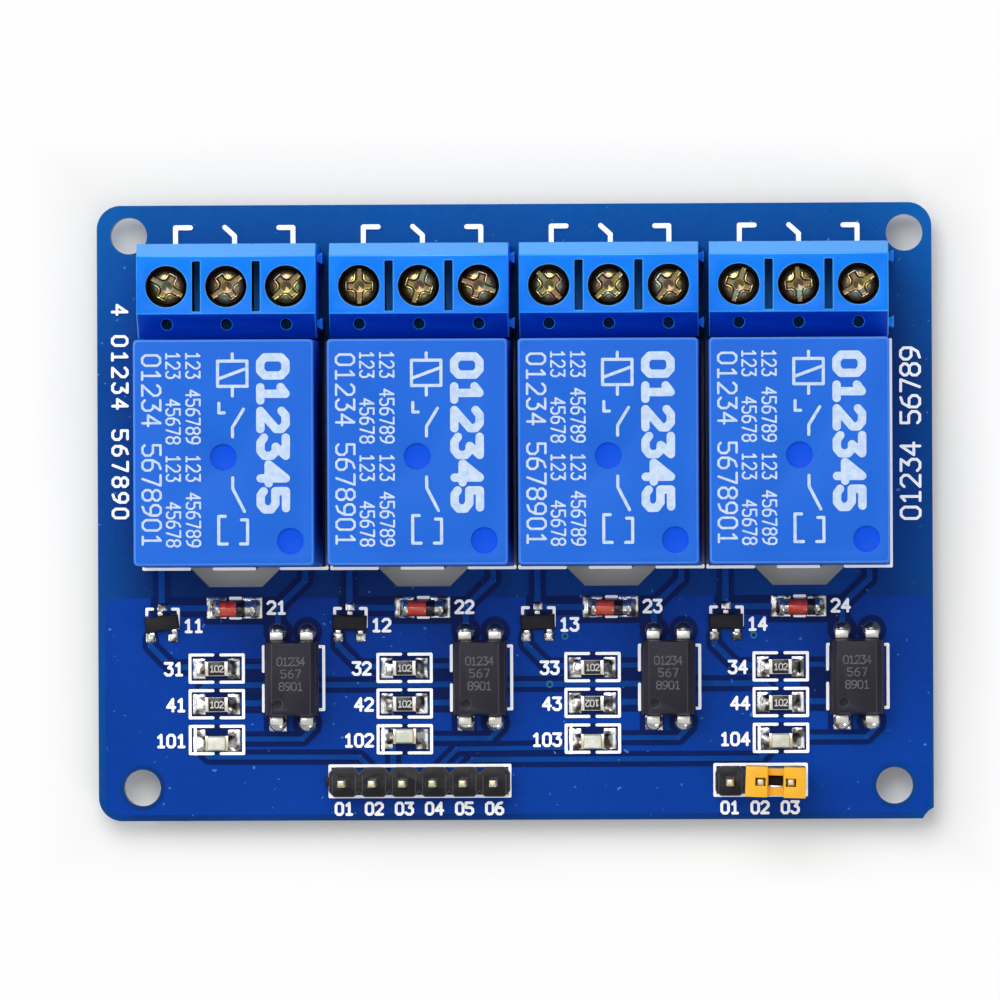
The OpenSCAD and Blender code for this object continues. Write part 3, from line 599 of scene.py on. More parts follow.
def strip(name, paths, width, height, lift, look, slope=0.0, slot="mask", base=deck, kind="print"):
    # paths in metres over a flat face whose height is base
    points, edges = [], []
    for path in paths:
        for start, end in zip(path, path[1:]):
            level = base + (lift + height / 2 + segmentStep * (len(edges) % segmentLevels[kind])) * mm
            edges.append((len(points), len(points) + 1))
            points += [(*start, level), (*end, level)]
    source = bpy.data.meshes.new("paths")
    source.from_pydata(points, edges, [])
    mesh = grown(source, strips, {"Width": width * mm, "Height": height * mm, "Slope": slope * mm,
                                  "Material": finish[look]})
    return piece(name, mesh, look)


def repeated(name, shape, spots, look, body="module", replaces=(), angle=32):
    # spots are (x, y, z, turn in degrees), in metres
    master = link(bpy.data.objects.new("shapeWork", shape))
    source = bpy.data.meshes.new("spots")
    source.from_pydata([s[:3] for s in spots], [], [])
    turns = source.attributes.new("turn", "FLOAT", "POINT")
    turns.data.foreach_set("value", [math.radians(s[3]) for s in spots])
    mesh = grown(source, repeats, {"Shape": master, "Material": finish[look]})
    drop(master)
    return piece(name, mesh, look, body, replaces, angle)


def ringFaces(rings, count):
    # the faces between neighbouring rings of count points each
    return [(n * count + m, n * count + (m + 1) % count, (n + 1) * count + (m + 1) % count, (n + 1) * count + m)
            for n in range(rings - 1) for m in range(count)]


def outlineMesh(points, low, high, slope=0.0):
    # a flat plate from its outline in mm, its top drawn in by the slope
    count = len(points)
    flat = [Vector(p) for p in points]
    inner = []
    for n, p in enumerate(flat):
        before, after = (p - flat[n - 1]).normalized(), (flat[(n + 1) % count] - p).normalized()
        bisector = Vector((-before.y - after.y, before.x + after.x))
        bisector = bisector / max(bisector.length_squared, 1e-9) * 2
        inner.append(p + bisector * slope)
    verts = [(p.x, p.y, low) for p in flat] + [(p.x, p.y, high) for p in inner]
    faces = [tuple(range(count - 1, -1, -1)), tuple(range(count, 2 * count))]
    return meshOf(verts, faces + ringFaces(2, count))


def joined(meshes):
    shape = bmesh.new()
    for mesh in meshes:
        shape.from_mesh(mesh)
        bpy.data.meshes.remove(mesh)
    out = bpy.data.meshes.new("part")
    shape.to_mesh(out)
    shape.free()
    return out


# CAD nodes that keep their own shape and get a finish of this scene
keep = {"board": "mask", "relay_pins": "tinned"}
keep.update({f"wire_guard_{n + 1}": "tinned" for n in range(3 * channels)})
for k in range(channels):
    keep.update({f"terminal_contacts_{k + 1}": "cage", f"relay_base_{k + 1}": "relayBase"})
for node, look in keep.items():
    obj = frame["nodes"][node]
    for slot in obj.material_slots:
        slot.material = finish[look]
print("carried nodes finished:", len(keep))


# copper under the mask

# places in mm: x from a channel's middle line, y from the relays' front edge
copper = {
    "pourTop": -2.58, "pourLeft": 0.59, "pourRight": 0.26, "pourFront": 0.5, "pourCorner": 1.1,
    "holeClear": 1.92, "gapRoom": 0.86, "thickness": 0.03, "haloRadius": 1.25,
    "gapHeight": 0.01, "gapLift": 0.045, "widthStep": 0.011,
    "trackHeight": 0.03, "trackLift": 0.14, "trackSlope": 0.06,
    "bareDepth": 0.02, "bareRise": 0.004, "bareStep": 0.0018,
}


def roundedOutline(x0, y0, x1, y1, r, steps=6):
    points = []
    for cx, cy, start in ((x1 - r, y1 - r, 0), (x0 + r, y1 - r, 90), (x0 + r, y0 + r, 180), (x1 - r, y0 + r, 270)):
        for n in range(steps + 1):
            a = math.radians(start + 90 * n / steps)
            points.append((cx + r * math.cos(a), cy + r * math.sin(a)))
    return points


def circleOutline(x, y, r, count=32):
    return [(x + r * math.cos(2 * math.pi * n / count), y + r * math.sin(2 * math.pi * n / count))
            for n in range(count)]


def sheet(name, outlines, low, high, look):
    # a filled flat shape from closed outlines in mm on the board; inner ones are holes
    curve = bpy.data.curves.new(name, "CURVE")
    curve.dimensions, curve.fill_mode = "2D", "BOTH"
    curve.extrude = (high - low) / 2 * mm
    for outline in outlines:
        spline = curve.splines.new("POLY")
        spline.points.add(len(outline) - 1)
        for point, (x, y) in zip(spline.points, outline):
            point.co = (x * mm, y * mm, 0, 1)
        spline.use_cyclic_u = True
    mesh = built(link(bpy.data.objects.new("sheetWork", curve)))
    bpy.data.curves.remove(curve)
    mesh.transform(Matrix.Translation((0, 0, deck + (low + high) / 2 * mm)))
    return piece(name, mesh, look)


def boardPlace(k, x, y):
    px, py = local(k, x, y)
    return px / mm, py / mm


frontHoles = [m for m in frame["record"]["mounts"] if m["name"] == "front_fixing_holes"][0]
holeGap, holeX, holeY = frontHoles["dims"]["spacing_x_mm"] / 2, frontHoles["pos_m"][0] / mm, frontHoles["pos_m"][1] / mm
c = copper
pourOutline = roundedOutline(boardLow.x / mm + c["pourLeft"], boardLow.y / mm + c["pourFront"],
                             boardHigh.x / mm - c["pourRight"], relayFront / mm + c["pourTop"], c["pourCorner"])
sheet("copper_pour", [pourOutline] + [circleOutline(holeX + s * holeGap, holeY, c["holeClear"]) for s in (-1, 1)],
      0, c["thickness"], "pour")

# tracks of one channel: width and points
channelTracks = {
    "base": (0.53, [(-6.26, 1.0), (-6.25, -3.3)]),
    "clamp": (0.5, [(-6.0, -3.43), (-2.2, -3.45)]),
    "coil": (0.5, [(5.89, 1.0), (5.89, -1.13), (4.09, -2.85), (3.58, -3.5), (3.57, -5.4)]),
    "drive": (0.5, [(-7.21, -5.9), (-7.21, -6.6), (-5.75, -8.1), (-5.3, -8.42), (-3.3, -8.42)]),
    "led": (0.43, [(-0.2, -8.38), (3.2, -8.38)]),
    "input": (0.5, [(-0.2, -11.48), (3.2, -11.48)]),
    "lamp": (0.43, [(6.04, -13.13), (6.55, -13.55), (5.6, -14.5), (0.0, -14.5)]),
}
supplyLine = [boardPlace(0, -2.85, -11.4), boardPlace(0, -2.85, -10.3), boardPlace(0, -2.5, -9.94),
              boardPlace(3, -3.0, -9.94), boardPlace(3, -2.65, -10.3), boardPlace(3, -2.65, -11.4)]
longTracks = [
    (0.49, supplyLine),
    (0.43, [boardPlace(0, -2.75, -14.6), boardPlace(0, -2.75, -15.6), boardPlace(0, -2.3, -16.0),
            boardPlace(1, -5.45, -16.06), boardPlace(1, -4.6, -16.9)]),
    (0.49, [boardPlace(1, -2.62, -14.6), boardPlace(1, -2.62, -17.2)]),
    (0.4, [boardPlace(2, -2.75, -15.28), boardPlace(1, 2.75, -15.4), boardPlace(1, 1.3, -16.85)]),
    (0.45, [boardPlace(3, -2.4, -15.3), boardPlace(3, -3.35, -16.27), boardPlace(1, 4.1, -16.3),
            boardPlace(1, 3.4, -17.0)]),
]
tracks = [(w, [boardPlace(k, *p) for p in path]) for k in range(channels) for w, path in channelTracks.values()]
tracks += longTracks


def metres(path):
    return [(x * mm, y * mm) for x, y in path]


for n, width in enumerate(sorted({w for w, _ in tracks})):
    paths = [metres(path) for w, path in tracks if w == width]
    strip(f"track_gaps_{n + 1}", paths, width + c["gapRoom"], c["gapHeight"], c["gapLift"] + c["widthStep"] * n, "gap",
          kind="copper")
    strip(f"tracks_{n + 1}", paths, width, c["trackHeight"], c["trackLift"], "track", c["trackSlope"], kind="copper")

# areas without copper inside the pour, for each channel
notch = [(-7.2, -2.5), (-7.2, -4.12), (-2.74, -4.18), (-2.74, -4.82), (2.34, -4.83), (2.34, -5.5), (4.27, -5.5),
         (4.27, -3.6), (5.4, -2.5)]
chipRows = (-8.53, -11.54, -14.56)  # two resistors and the lamp
chipFrame = {"left": -3.88, "right": 0.63, "half": 1.15, "open": (-1.95, -1.27), "past": 0.02, "openPast": 0.15}
bare = [notch, [(0.0, -7.7), (3.5, -7.7), (3.5, -12.32), (0.0, -12.32)]]
for row in chipRows:
    for x0, x1, past in ((chipFrame["left"], chipFrame["right"], chipFrame["past"]),
                         (*chipFrame["open"], chipFrame["openPast"])):
        low, high = row - chipFrame["half"] - past, row + chipFrame["half"] + past
        bare.append([(x0, high), (x0, low), (x1, low), (x1, high)])
bare.append([(2.33, -11.9), (2.33, -13.95), (4.4, -14.35), (4.4, -11.9)])
optoLands = [(3.57, -5.45), (6.05, -5.46), (3.55, -13.13), (6.03, -13.14)]
bare += [circleOutline(x, y, copper["haloRadius"]) for x, y in optoLands[:2] + optoLands[3:]]
gapMeshes = []
for k in range(channels):
    for n, outline in enumerate(bare):
        points = [boardPlace(k, x, y) for x, y in outline]
        if sum(a[0] * b[1] - b[0] * a[1] for a, b in zip(points, points[1:] + points[:1])) < 0:
            points.reverse()
        lift = deck / mm + copper["thickness"] + copper["bareStep"] * n
        gapMeshes.append(outlineMesh(points, lift - copper["bareDepth"], lift + copper["bareRise"]))
piece("bare_areas", joined(gapMeshes), "gap")
print("copper laid: tracks", len(tracks), "bare areas", len(bare) * channels)

# white print on the board

printLook = {
    "line": 0.25, "symbol": 0.42, "stroke": 0.23, "digit": 1.0, "lift": 0.185, "thickness": 0.02,
    "relaySide": 7.74, "relayFront": -0.12, "relayRear": 19.0, "shadedFront": 0.16,  # the outline round each relay
    "headerHalf": {"input_header": 7.6, "power_header": 3.86}, "headerFront": 1.24, "headerRear": 1.36,
    "pinPitch": 2.54, "pinDigit": 0.95, "pinDigitDrop": 2.74, "pinDigitLeft": 0.75,
}

# each digit as strokes on a grid 0.6 wide and 1 high
digitWidth = 0.6
digitStrokes = {
    "0": [[(0, .18), (0, .82), (.16, 1), (.44, 1), (.6, .82), (.6, .18), (.44, 0), (.16, 0), (0, .18)]],
    "1": [[(.1, .8), (.32, 1), (.32, 0)], [(.1, 0), (.54, 0)]],
    "2": [[(0, .84), (.16, 1), (.44, 1), (.6, .84), (.6, .62), (0, 0), (.6, 0)]],
    "3": [[(0, 1), (.6, 1), (.3, .6), (.46, .6), (.6, .44), (.6, .16), (.44, 0), (.16, 0), (0, .14)]],
    "4": [[(.46, 0), (.46, 1), (0, .32), (.62, .32)]],
    "5": [[(.56, 1), (0, 1), (0, .58), (.42, .58), (.6, .42), (.6, .16), (.44, 0), (.14, 0), (0, .12)]],
    "6": [[(.5, 1), (.2, .9), (0, .56), (0, .16), (.16, 0), (.44, 0), (.6, .16), (.6, .4), (.44, .56), (0, .56)]],
    "7": [[(0, 1), (.6, 1), (.22, 0)]],
    "8": [[(.16, .54), (0, .7), (0, .84), (.16, 1), (.44, 1), (.6, .84), (.6, .7), (.44, .54), (.16, .54),
           (0, .38), (0, .16), (.16, 0), (.44, 0), (.6, .16), (.6, .38), (.44, .54)]],
    "9": [[(.1, 0), (.4, .1), (.6, .44), (.6, .84), (.44, 1), (.16, 1), (0, .84), (0, .6), (.16, .44), (.6, .44)]],
    " ": [],
}


def digits(text, x, y, height, spacing=0.86, turn=0, wide=1.0):
    # strokes in mm for a number whose lower left corner is at x, y
    spin = Matrix.Rotation(math.radians(turn), 2)
    return [[Vector((x, y)) + spin @ (Vector((n * spacing + a * wide, b)) * height) for a, b in path]
            for n, mark in enumerate(text) for path in digitStrokes[mark]]


def boxLines(x0, y0, x1, y1, gap=None):
    # a frame, open from one x to another in front and behind where a gap is given
    if gap is None:
        return [[(x0, y0), (x1, y0), (x1, y1), (x0, y1), (x0, y0)]]
    a, b = gap
    return [[(a, y1), (x0, y1), (x0, y0), (a, y0)], [(b, y1), (x1, y1), (x1, y0), (b, y0)]]


side, front = printLook["relaySide"], printLook["relayFront"]
# outlines, switch signs and numbers of one channel, in mm as the tracks are
channelLines = {
    "relay": [[(-side, 0.0), (-side, front), (-3.88, front)], [(-1.8, front), (1.63, front)],
              [(3.85, -0.1), (side, -0.1), (side, 0.0)]],
    "transistor": [[(-7.51, -3.98), (-7.51, -3.49), (-7.02, -3.49)], [(-5.34, -3.5), (-4.85, -3.5), (-4.85, -5.05)]],
    "diode": [[(-0.44, -4.26), (0.42, -4.26)], [(-0.44, -2.6), (0.42, -2.6)]],
    "optocoupler": [[(2.65, -6.69), (2.33, -6.69), (2.33, -8.79)], [(2.33, -9.97), (2.33, -12.14)],
                    [(6.99, -6.71), (7.42, -6.71), (7.42, -12.03), (6.9, -12.03)]],
    "lamp": [[(-3.46, -13.39), (-3.46, -15.74)]],
    "chips": [path for row in chipRows
              for path in boxLines(chipFrame["left"], row - chipFrame["half"], chipFrame["right"],
                                   row + chipFrame["half"], chipFrame["open"])],
}
switchSigns = [[(-4.96, 27.12), (-4.96, 28.72), (-3.7, 28.72)], [(-0.79, 28.74), (0.03, 28.0), (0.03, 27.12)],
               [(3.78, 28.7), (4.97, 28.7), (4.97, 27.12)]]
channelNumbers = {"1": (-4.3, -5.42), "2": (2.72, -3.9), "3": (-5.98, -9.07), "4": (-5.8, -12.11),
                  "10": (-6.66, -15.14)}
# number, place on the board, height, pitch and turn
boardNumbers = [("4 01234 567890", -33.95, 17.6, 1.25, 1.06, -90), ("01234 56789", 34.2, -0.7, 1.6, 0.84, 90)]

fineLines, shadedLines, symbolLines, digitLines = [], [], [], []
for k in range(channels):
    for x, close in ((-side, k > 0), (side, k < channels - 1)):
        group = shadedLines if close else fineLines  # a close neighbour keeps the light off
        group.append([boardPlace(k, x, printLook["relayRear"]), boardPlace(k, x, printLook["shadedFront"])])
    fineLines += [[boardPlace(k, *p) for p in path] for paths in channelLines.values() for path in paths]
    symbolLines += [[boardPlace(k, *p) for p in path] for path in switchSigns]
    for text, place in channelNumbers.items():
        digitLines += digits(f"{text}{k + 1}", *boardPlace(k, *place), printLook["digit"])
for node, half in printLook["headerHalf"].items():
    place, pins = middle(node) / mm, len(islands(node.replace("header", "pins")))
    fineLines += boxLines(place.x - half, place.y - printLook["headerFront"],
                          place.x + half, place.y + printLook["headerRear"])
    for n in range(pins):
        x = place.x + (n - (pins - 1) / 2) * printLook["pinPitch"] - printLook["pinDigitLeft"]
        digitLines += digits(f"0{n + 1}", x, place.y - printLook["pinDigitDrop"], printLook["pinDigit"])
for values in boardNumbers:
    digitLines += digits(*values)
for name, lines, width, look in (("lines", fineLines, "line", "silk"), ("shaded", shadedLines, "line", "silkShaded"),
                                 ("symbols", symbolLines, "symbol", "silk"), ("digits", digitLines, "stroke", "silk")):
    strip(f"print_{name}", [metres(p) for p in lines], printLook[width], printLook["thickness"], printLook["lift"],
          look)
print("board print laid:", len(fineLines + shadedLines + symbolLines + digitLines), "lines")

# lands

landLevel = 0.15  # above the board, in mm
# length and width, height, corner radius, and the places in each channel
landTable = {
    "transistor_lands_1": ((0.8, 0.75), 0.14, 0.12, [(-6.21, -3.37)]),
    "transistor_lands_2": ((0.8, 0.85), 0.14, 0.12, [(-7.21, -5.91)]),
    "transistor_lands_3": ((0.85, 0.8), 0.14, 0.12, [(-5.29, -5.91)]),
    "diode_lands": ((1.65, 1.8), 0.06, 0.08, [(-1.6, -3.42), (1.42, -3.42)]),
    "chip_lands": ((1.05, 1.75), 0.06, 0.1, [(x, row) for row in chipRows for x in (-3.1, -0.16)]),
    "round_lands": ((1.5, 1.5), 0.07, 0.74, [optoLands[0], optoLands[1], optoLands[3]]),
    "square_lands": ((1.46, 1.46), 0.07, 0.08, [optoLands[2]]),
}
via = {
    "rim": ((0.62, 0.62), 0.03, 0.3), "rimLift": 0.02, "hole": ((0.36, 0.36), 0.02, 0.17), "holeLift": 0.036,
    "places": [boardPlace(2, -3.95, -5.9), boardPlace(3, -3.89, -5.87), boardPlace(2, -5.25, -9.97)],
}


def pillow(w, l, low, high, r, rings=5, corner=4):
    # a soft mound on a rounded rectangle, in mm round the origin
    points = []
    for n in range(rings):
        a = math.pi / 2 * n / rings
        shrink = 1 - math.cos(a)
        inset = shrink * min(w, l) / 2
        outline = roundedOutline(-w / 2 + inset, -l / 2 + inset, w / 2 - inset, l / 2 - inset,
                                 max(r * math.cos(a), 0.01), corner)
        points += [(x, y, low + (high - low) * math.sin(a)) for x, y in outline]
    count = len(points) // rings
    points.append((0, 0, high))
    last = (rings - 1) * count
    faces = ringFaces(rings, count) + [(last + m, last + (m + 1) % count, len(points) - 1) for m in range(count)]
    faces.append(tuple(range(count - 1, -1, -1)))
    return meshOf(points, faces)


def spotsOn(places, z):
    return [(x * mm, y * mm, z, 0) for x, y in places]


def inEveryChannel(places):
    return [boardPlace(k, *p) for k in range(channels) for p in places]


def lands(name, size, height, corner, places, look="solder", slot="solder", lift=0.0):
    repeated(name, pillow(*size, 0, height, corner), spotsOn(places, deck + (landLevel + lift) * mm), look)


for name, (size, height, corner, places) in landTable.items():
    lands(name, size, height, corner, inEveryChannel(places))
lands("via_rims", *via["rim"], via["places"], "viaRim", "tinned", via["rimLift"])
# a black disc over each via stands for the dark of its open hole: painted shade
lands("via_holes", *via["hole"], via["places"], "smallBlack", "mask", via["holeLift"])
print("lands laid")

# shapes that several pieces share


def lathe(profile, segments=24, along="Z"):
    # a closed turned shape from (radius, height) points in mm, from its lower pole to its upper one
    points, rings, faces = [], [], []
    for radius, height in profile:
        count = segments if radius > 1e-6 else 1
        rings.append(list(range(len(points), len(points) + count)))
        for n in range(count):
            a = 2 * math.pi * n / segments
            points.append((radius * math.cos(a), radius * math.sin(a), height))
    for low, high in zip(rings, rings[1:]):
        for n in range(segments):
            m = (n + 1) % segments
            if len(low) == 1:
                faces.append((low[0], high[m], high[n]))
            elif len(high) == 1:
                faces.append((low[n], low[m], high[0]))
            else:
                faces.append((low[n], low[m], high[m], high[n]))
    if along == "X":
        points = [(z, x, y) for x, y, z in points]
    return meshOf(points, faces)


def block(x0, y0, z0, x1, y1, z1, draw=0.0):
    # a box in mm, its top drawn in on all sides
    return outlineMesh([(x0, y0), (x1, y0), (x1, y1), (x0, y1)], z0, z1, draw)


def cut(mesh, *tools):
    # the mesh less the tools, as one clean shape
    obj = link(bpy.data.objects.new("cutWork", mesh))
    others = []
    for tool in tools:
        other = link(bpy.data.objects.new("toolWork", tool))
        modifier = obj.modifiers.new("cut", "BOOLEAN")
        modifier.operation, modifier.solver, modifier.object = "DIFFERENCE", "EXACT", other
        others.append(other)
    result = built(obj)
    for other in others:
        drop(other)
    return result


def merging(mesh):
    # touching boxes made one: doubles merged and the faces between them deleted
    def work(shape):
        weld(shape)
        faces = {}
        for face in shape.faces:
            faces.setdefault(frozenset(v.index for v in face.verts), []).append(face)
        inner = [face for same in faces.values() if len(same) > 1 for face in same]
        bmesh.ops.delete(shape, geom=inner, context="FACES_ONLY")
    return reworked(mesh, work)


def centre(box):
    low, high = box
    return (low + high) / 2


def spotsAt(boxes, z):
    return [(p.x, p.y, z, 0) for p in map(centre, boxes)]


# terminal housings, a bevelled skin over the CAD shape with painted highlights on its edges

housing = {"edge": 0.07, "inset": 0.6}


def deepened(mesh, low, high):
    # the walls of wells and slots take material number 2, which paints them dark as painted shade
    room = housing["inset"] * mm
    mesh.materials.append(None)
    for face in mesh.polygons:
        x, y, z = face.center
        within = low.x + room < x < high.x - room and low.y + room < y < high.y - room
        if within and face.material_index == 0 and z < high.z - 0.02 * mm and face.normal.z < 0.5:
            face.material_index = 2
    return mesh


for k in range(channels):
    node = f"terminal_block_{k + 1}"
    skin = bevelled(merged(node), housing["edge"], clamp=False)
    deepened(skin, *[Vector(v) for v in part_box(node)])
    piece(f"terminal_housing_{k + 1}", skin, "terminal", replaces=[node],
          edges=["terminalEdgeHighlight", "terminalDeep"])
print("terminal housings bevelled")

# clamp screws: a domed head with a slot to its edge and a curved cross

screw = {
    "around": 96, "rings": 30, "slotHalf": 0.33, "starReach": 1.08, "starBelly": 0.2, "floor": 0.42, "dimple": 0.14,
    "dimpleReach": 0.46, "wall": 0.13, "lip": 0.024, "lipOut": 0.07, "lipWidth": 0.05, "lipEnd": 0.1,
    "crown": 0.34, "crownPower": 2.1, "corner": 0.04, "cornerDrop": 0.06, "headHeight": 1.5,
    "shank": 2.4, "pitch": 0.45, "thread": 0.16, "crest": (0.42, 0.58), "point": 0.5, "pointHeight": 0.25,
    "turns": (-30, 35, 43, 90, 72, -19, -50, 44, 52, 72, 95, 31),  # how each screw was left, in degrees
}


def screwHead(radius, low, high):
    # a closed head in mm; its slot lies along x and its short cross arm along y
    def height(x, y):
        out, u, v = math.hypot(x, y), abs(x), abs(y)
        star = min((screw["starBelly"] - u * v) / max(out, 0.05), screw["starReach"] - max(u, v))
        arm = min(screw["slotHalf"] - u, screw["starReach"] - v)
        inside = max(screw["slotHalf"] - v, arm, star)
        into = min(max(inside / screw["wall"], 0), 1)
        into = into * into * (3 - 2 * into)
        dome = high - screw["crown"] * (out / radius) ** screw["crownPower"]
        if out < radius - screw["lipEnd"]:
            dome += screw["lip"] * math.exp(-((inside + screw["lipOut"]) / screw["lipWidth"]) ** 2)
        bed = high - screw["floor"] - screw["dimple"] * max(0, 1 - out / screw["dimpleReach"])
        return min(dome, high) * (1 - into) + bed * into
    around, rings = screw["around"], screw["rings"]
    points = [(0, 0, height(0, 0))]
    for n in range(rings):
        ring = circleOutline(0, 0, (radius - screw["corner"]) * (n + 1) / rings, around)
        points += [(x, y, height(x, y)) for x, y in ring]
    rim = circleOutline(0, 0, radius, around)
    points += [(x, y, height(x, y) - screw["cornerDrop"]) for x, y in rim] + [(x, y, low) for x, y in rim]
    faces = [(0, 1 + n, 1 + (n + 1) % around) for n in range(around)]
    for ring in range(rings + 1):
        a, b = 1 + ring * around, 1 + (ring + 1) * around
        faces += [(a + n, b + n, b + (n + 1) % around, a + (n + 1) % around) for n in range(around)]
    last = 1 + (rings + 1) * around
    faces.append(tuple(last + n for n in range(around - 1, -1, -1)))
    return meshOf(points, faces)


def screwShape(box):
    low, high = box[0].z / mm, box[1].z / mm
    radius = (box[1].x - box[0].x) / 2 / mm
    seat = high - screw["headHeight"]
    outer, root = screw["shank"] / 2, screw["shank"] / 2 - screw["thread"]
    profile = [(0, low), (outer - screw["point"], low)]
    turns = int((seat - low - screw["pointHeight"] - 0.05) / screw["pitch"])
    for n in range(turns):
        z = low + screw["pointHeight"] + n * screw["pitch"]
        profile += [(root, z)] + [(outer, z + screw["pitch"] * share) for share in screw["crest"]]
    profile += [(root, seat + 0.02), (0, seat + 0.2)]
    return joined([screwHead(radius, seat, high), lathe(profile, 20)])


for n, turn in enumerate(screw["turns"]):
    node = f"terminal_screw_{n + 1}"
    box = [Vector(v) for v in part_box(node)]
    place = centre(box)
    repeated(f"clamp_screw_{n + 1}", screwShape(box), [(place.x, place.y, 0, turn)], "zinc", f"screw_{n + 1}",
             [node], 40)
print("clamp screws made:", len(screw["turns"]))

# relay covers with the print on their tops

cover = {
    "edge": 0.06, "draft": 0.15, "corner": 0.34, "rim": 0.24, "wall": 0.8, "pocket": 1.7, "mark": 2.25, "sink": 0.24,
    "marks": ((0, -0.4), (5.55, -7.4)), "print": 0.018, "lift": 0.002,
    "strokes": {"fine": 0.16, "plain": 0.2, "bold": 0.7, "symbol": 0.26},
    # kind, number, place from the cover's middle, height, pitch and width of a digit
    "numbers": (("bold", "012345", 3.1, 7.9, 2.1, 1.06, 1.2),
                ("fine", "123 456789 123 456789", -3.06, 8.3, 1.12, 0.695, 0.78),
                ("fine", "123  45678 123  45678", -4.72, 8.3, 1.12, 0.695, 0.78),
                ("plain", "01234 5678901", -6.72, 8.1, 1.5, 0.83, 0.95)),
}
relayLines = {kind: [] for kind in cover["strokes"]}


def coverShape(box):
    # a hollow drafted cover with a rounded rim and two round marks sunk in its top, in mm
    low, high = box[0] / mm, box[1] / mm
    steps, rings = 5, []
    for n in range(steps + 1):
        a = math.pi / 2 * n / steps
        rings.append((cover["draft"] + cover["rim"] * (1 - math.cos(a)), high.z - cover["rim"] * (1 - math.sin(a))))
    rings = [(cover["wall"], low.z + cover["pocket"]), (cover["wall"], low.z), (0, low.z)] + rings
    points = []
    for inset, z in rings:
        points += [(x, y, z) for x, y in roundedOutline(low.x + inset, low.y + inset, high.x - inset, high.y - inset,
                                                        cover["corner"], 4)]
    count = len(points) // len(rings)
    last = (len(rings) - 1) * count
    faces = ringFaces(len(rings), count) + [tuple(range(last, last + count)), tuple(range(count - 1, -1, -1))]
    mid = (low + high) / 2
    tools = []
    for x, y in cover["marks"]:
        tool = lathe([(0, high.z - cover["sink"]), (cover["mark"] / 2, high.z - cover["sink"]),
                      (cover["mark"] / 2, high.z + 1), (0, high.z + 1)], 48)
        tool.transform(Matrix.Translation(((mid.x + x) * mm, (mid.y + y) * mm, 0)))
        tools.append(tool)
    return cut(meshOf(points, faces), *tools)


coil = [[(-0.45, 7.6), (2.0, 7.6), (2.0, 5.5), (-0.45, 5.5), (-0.45, 7.6)], [(-0.45, 6.1), (2.0, 7.0)],
        [(0.78, 8.2), (0.78, 7.6)], [(0.78, 5.5), (0.78, 4.7)]]
contact = [[(0.78, 1.3), (0.78, 2.1), (1.7, 3.6)], [(-0.35, 4.1), (-0.35, 3.3), (0.1, 3.3)],
           [(0.78, -2.1), (0.78, -3.0), (1.75, -4.9)], [(-0.4, -7.6), (-0.4, -5.3), (0.15, -5.3)],
           [(2.0, -7.6), (2.0, -5.6), (1.5, -5.6)], [(-0.4, -7.6), (0.3, -7.6)], [(1.4, -7.6), (2.0, -7.6)]]
for k in range(channels):
    node = f"relay_cover_{k + 1}"
    shell = bevelled(coverShape([Vector(v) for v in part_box(node)]), cover["edge"], 2, 50)
    piece(f"relay_shell_{k + 1}", shell, "relay", replaces=[node])
    place = middle(node) / mm
    for kind, text, x, y, height, pitch, wide in cover["numbers"]:
        relayLines[kind] += digits(text, place.x + x, place.y + y, height, pitch, -90, wide)
    relayLines["symbol"] += [[(place.x + x, place.y + y) for x, y in line] for line in coil + contact]
for kind, lines in relayLines.items():
    strip(f"relay_print_{kind}", [metres(p) for p in lines], cover["strokes"][kind], cover["print"], cover["lift"],
          "relayPrint", slot="relay", base=top("relay_cover_1"))
print("relay covers and print made")

# optocouplers with their grey marking

opto = {
    "edge": 0.07, "legEdge": 0.05, "digit": 0.66, "stroke": 0.1, "print": 0.012,
    "lines": (("01234", 1.12, 0.72), ("567", 0.09, 0.92), ("8901", -0.97, 0.78)),  # number, place along, pitch
}
opticLines = []
for k in range(channels):
    node = f"optocoupler_{k + 1}"
    piece(f"optocoupler_body_{k + 1}", bevelled(merged(node), opto["edge"], 2, 25), "opto",
          replaces=[node], edges=["optoEdgeHighlight"])
    place = middle(node) / mm
    for text, y, pitch in opto["lines"]:
        wide = ((len(text) - 1) * pitch + digitWidth) * opto["digit"]
        opticLines += digits(text, place.x - wide / 2, place.y + y, opto["digit"], pitch)
strip("optocoupler_marking", [metres(p) for p in opticLines], opto["stroke"], opto["print"], 0.0, "opticPrint",
      slot="opto", base=top("optocoupler_1"))
piece("optocoupler_legs", bevelled(merged("optocoupler_leads"), opto["legEdge"]), "tinned",
      replaces=["optocoupler_leads"])
print("optocouplers made")

# solder: cones below, domes round the optocouplers' leads, fillets at the small parts

joint = {
    "domeRadius": 0.78, "domeHeight": 0.6, "domeLift": 0.16, "filletLift": 0.17,
    "chip": (0.82, 1.36, 0.42), "chipPast": -0.03,  # length, width and height, and how far past the end they start
    "diode": (0.5, 1.5, 0.5), "diodePast": 0.1,
}


def domeShape(radius, height, rings=7):
    profile = [(0, -0.02), (radius * 0.98, -0.02)]
    for n in range(rings):
        a = math.pi / 2 * n / rings
        profile.append((radius * math.cos(a), height * math.sin(a)))
    return lathe(profile + [(0, height)], 28)


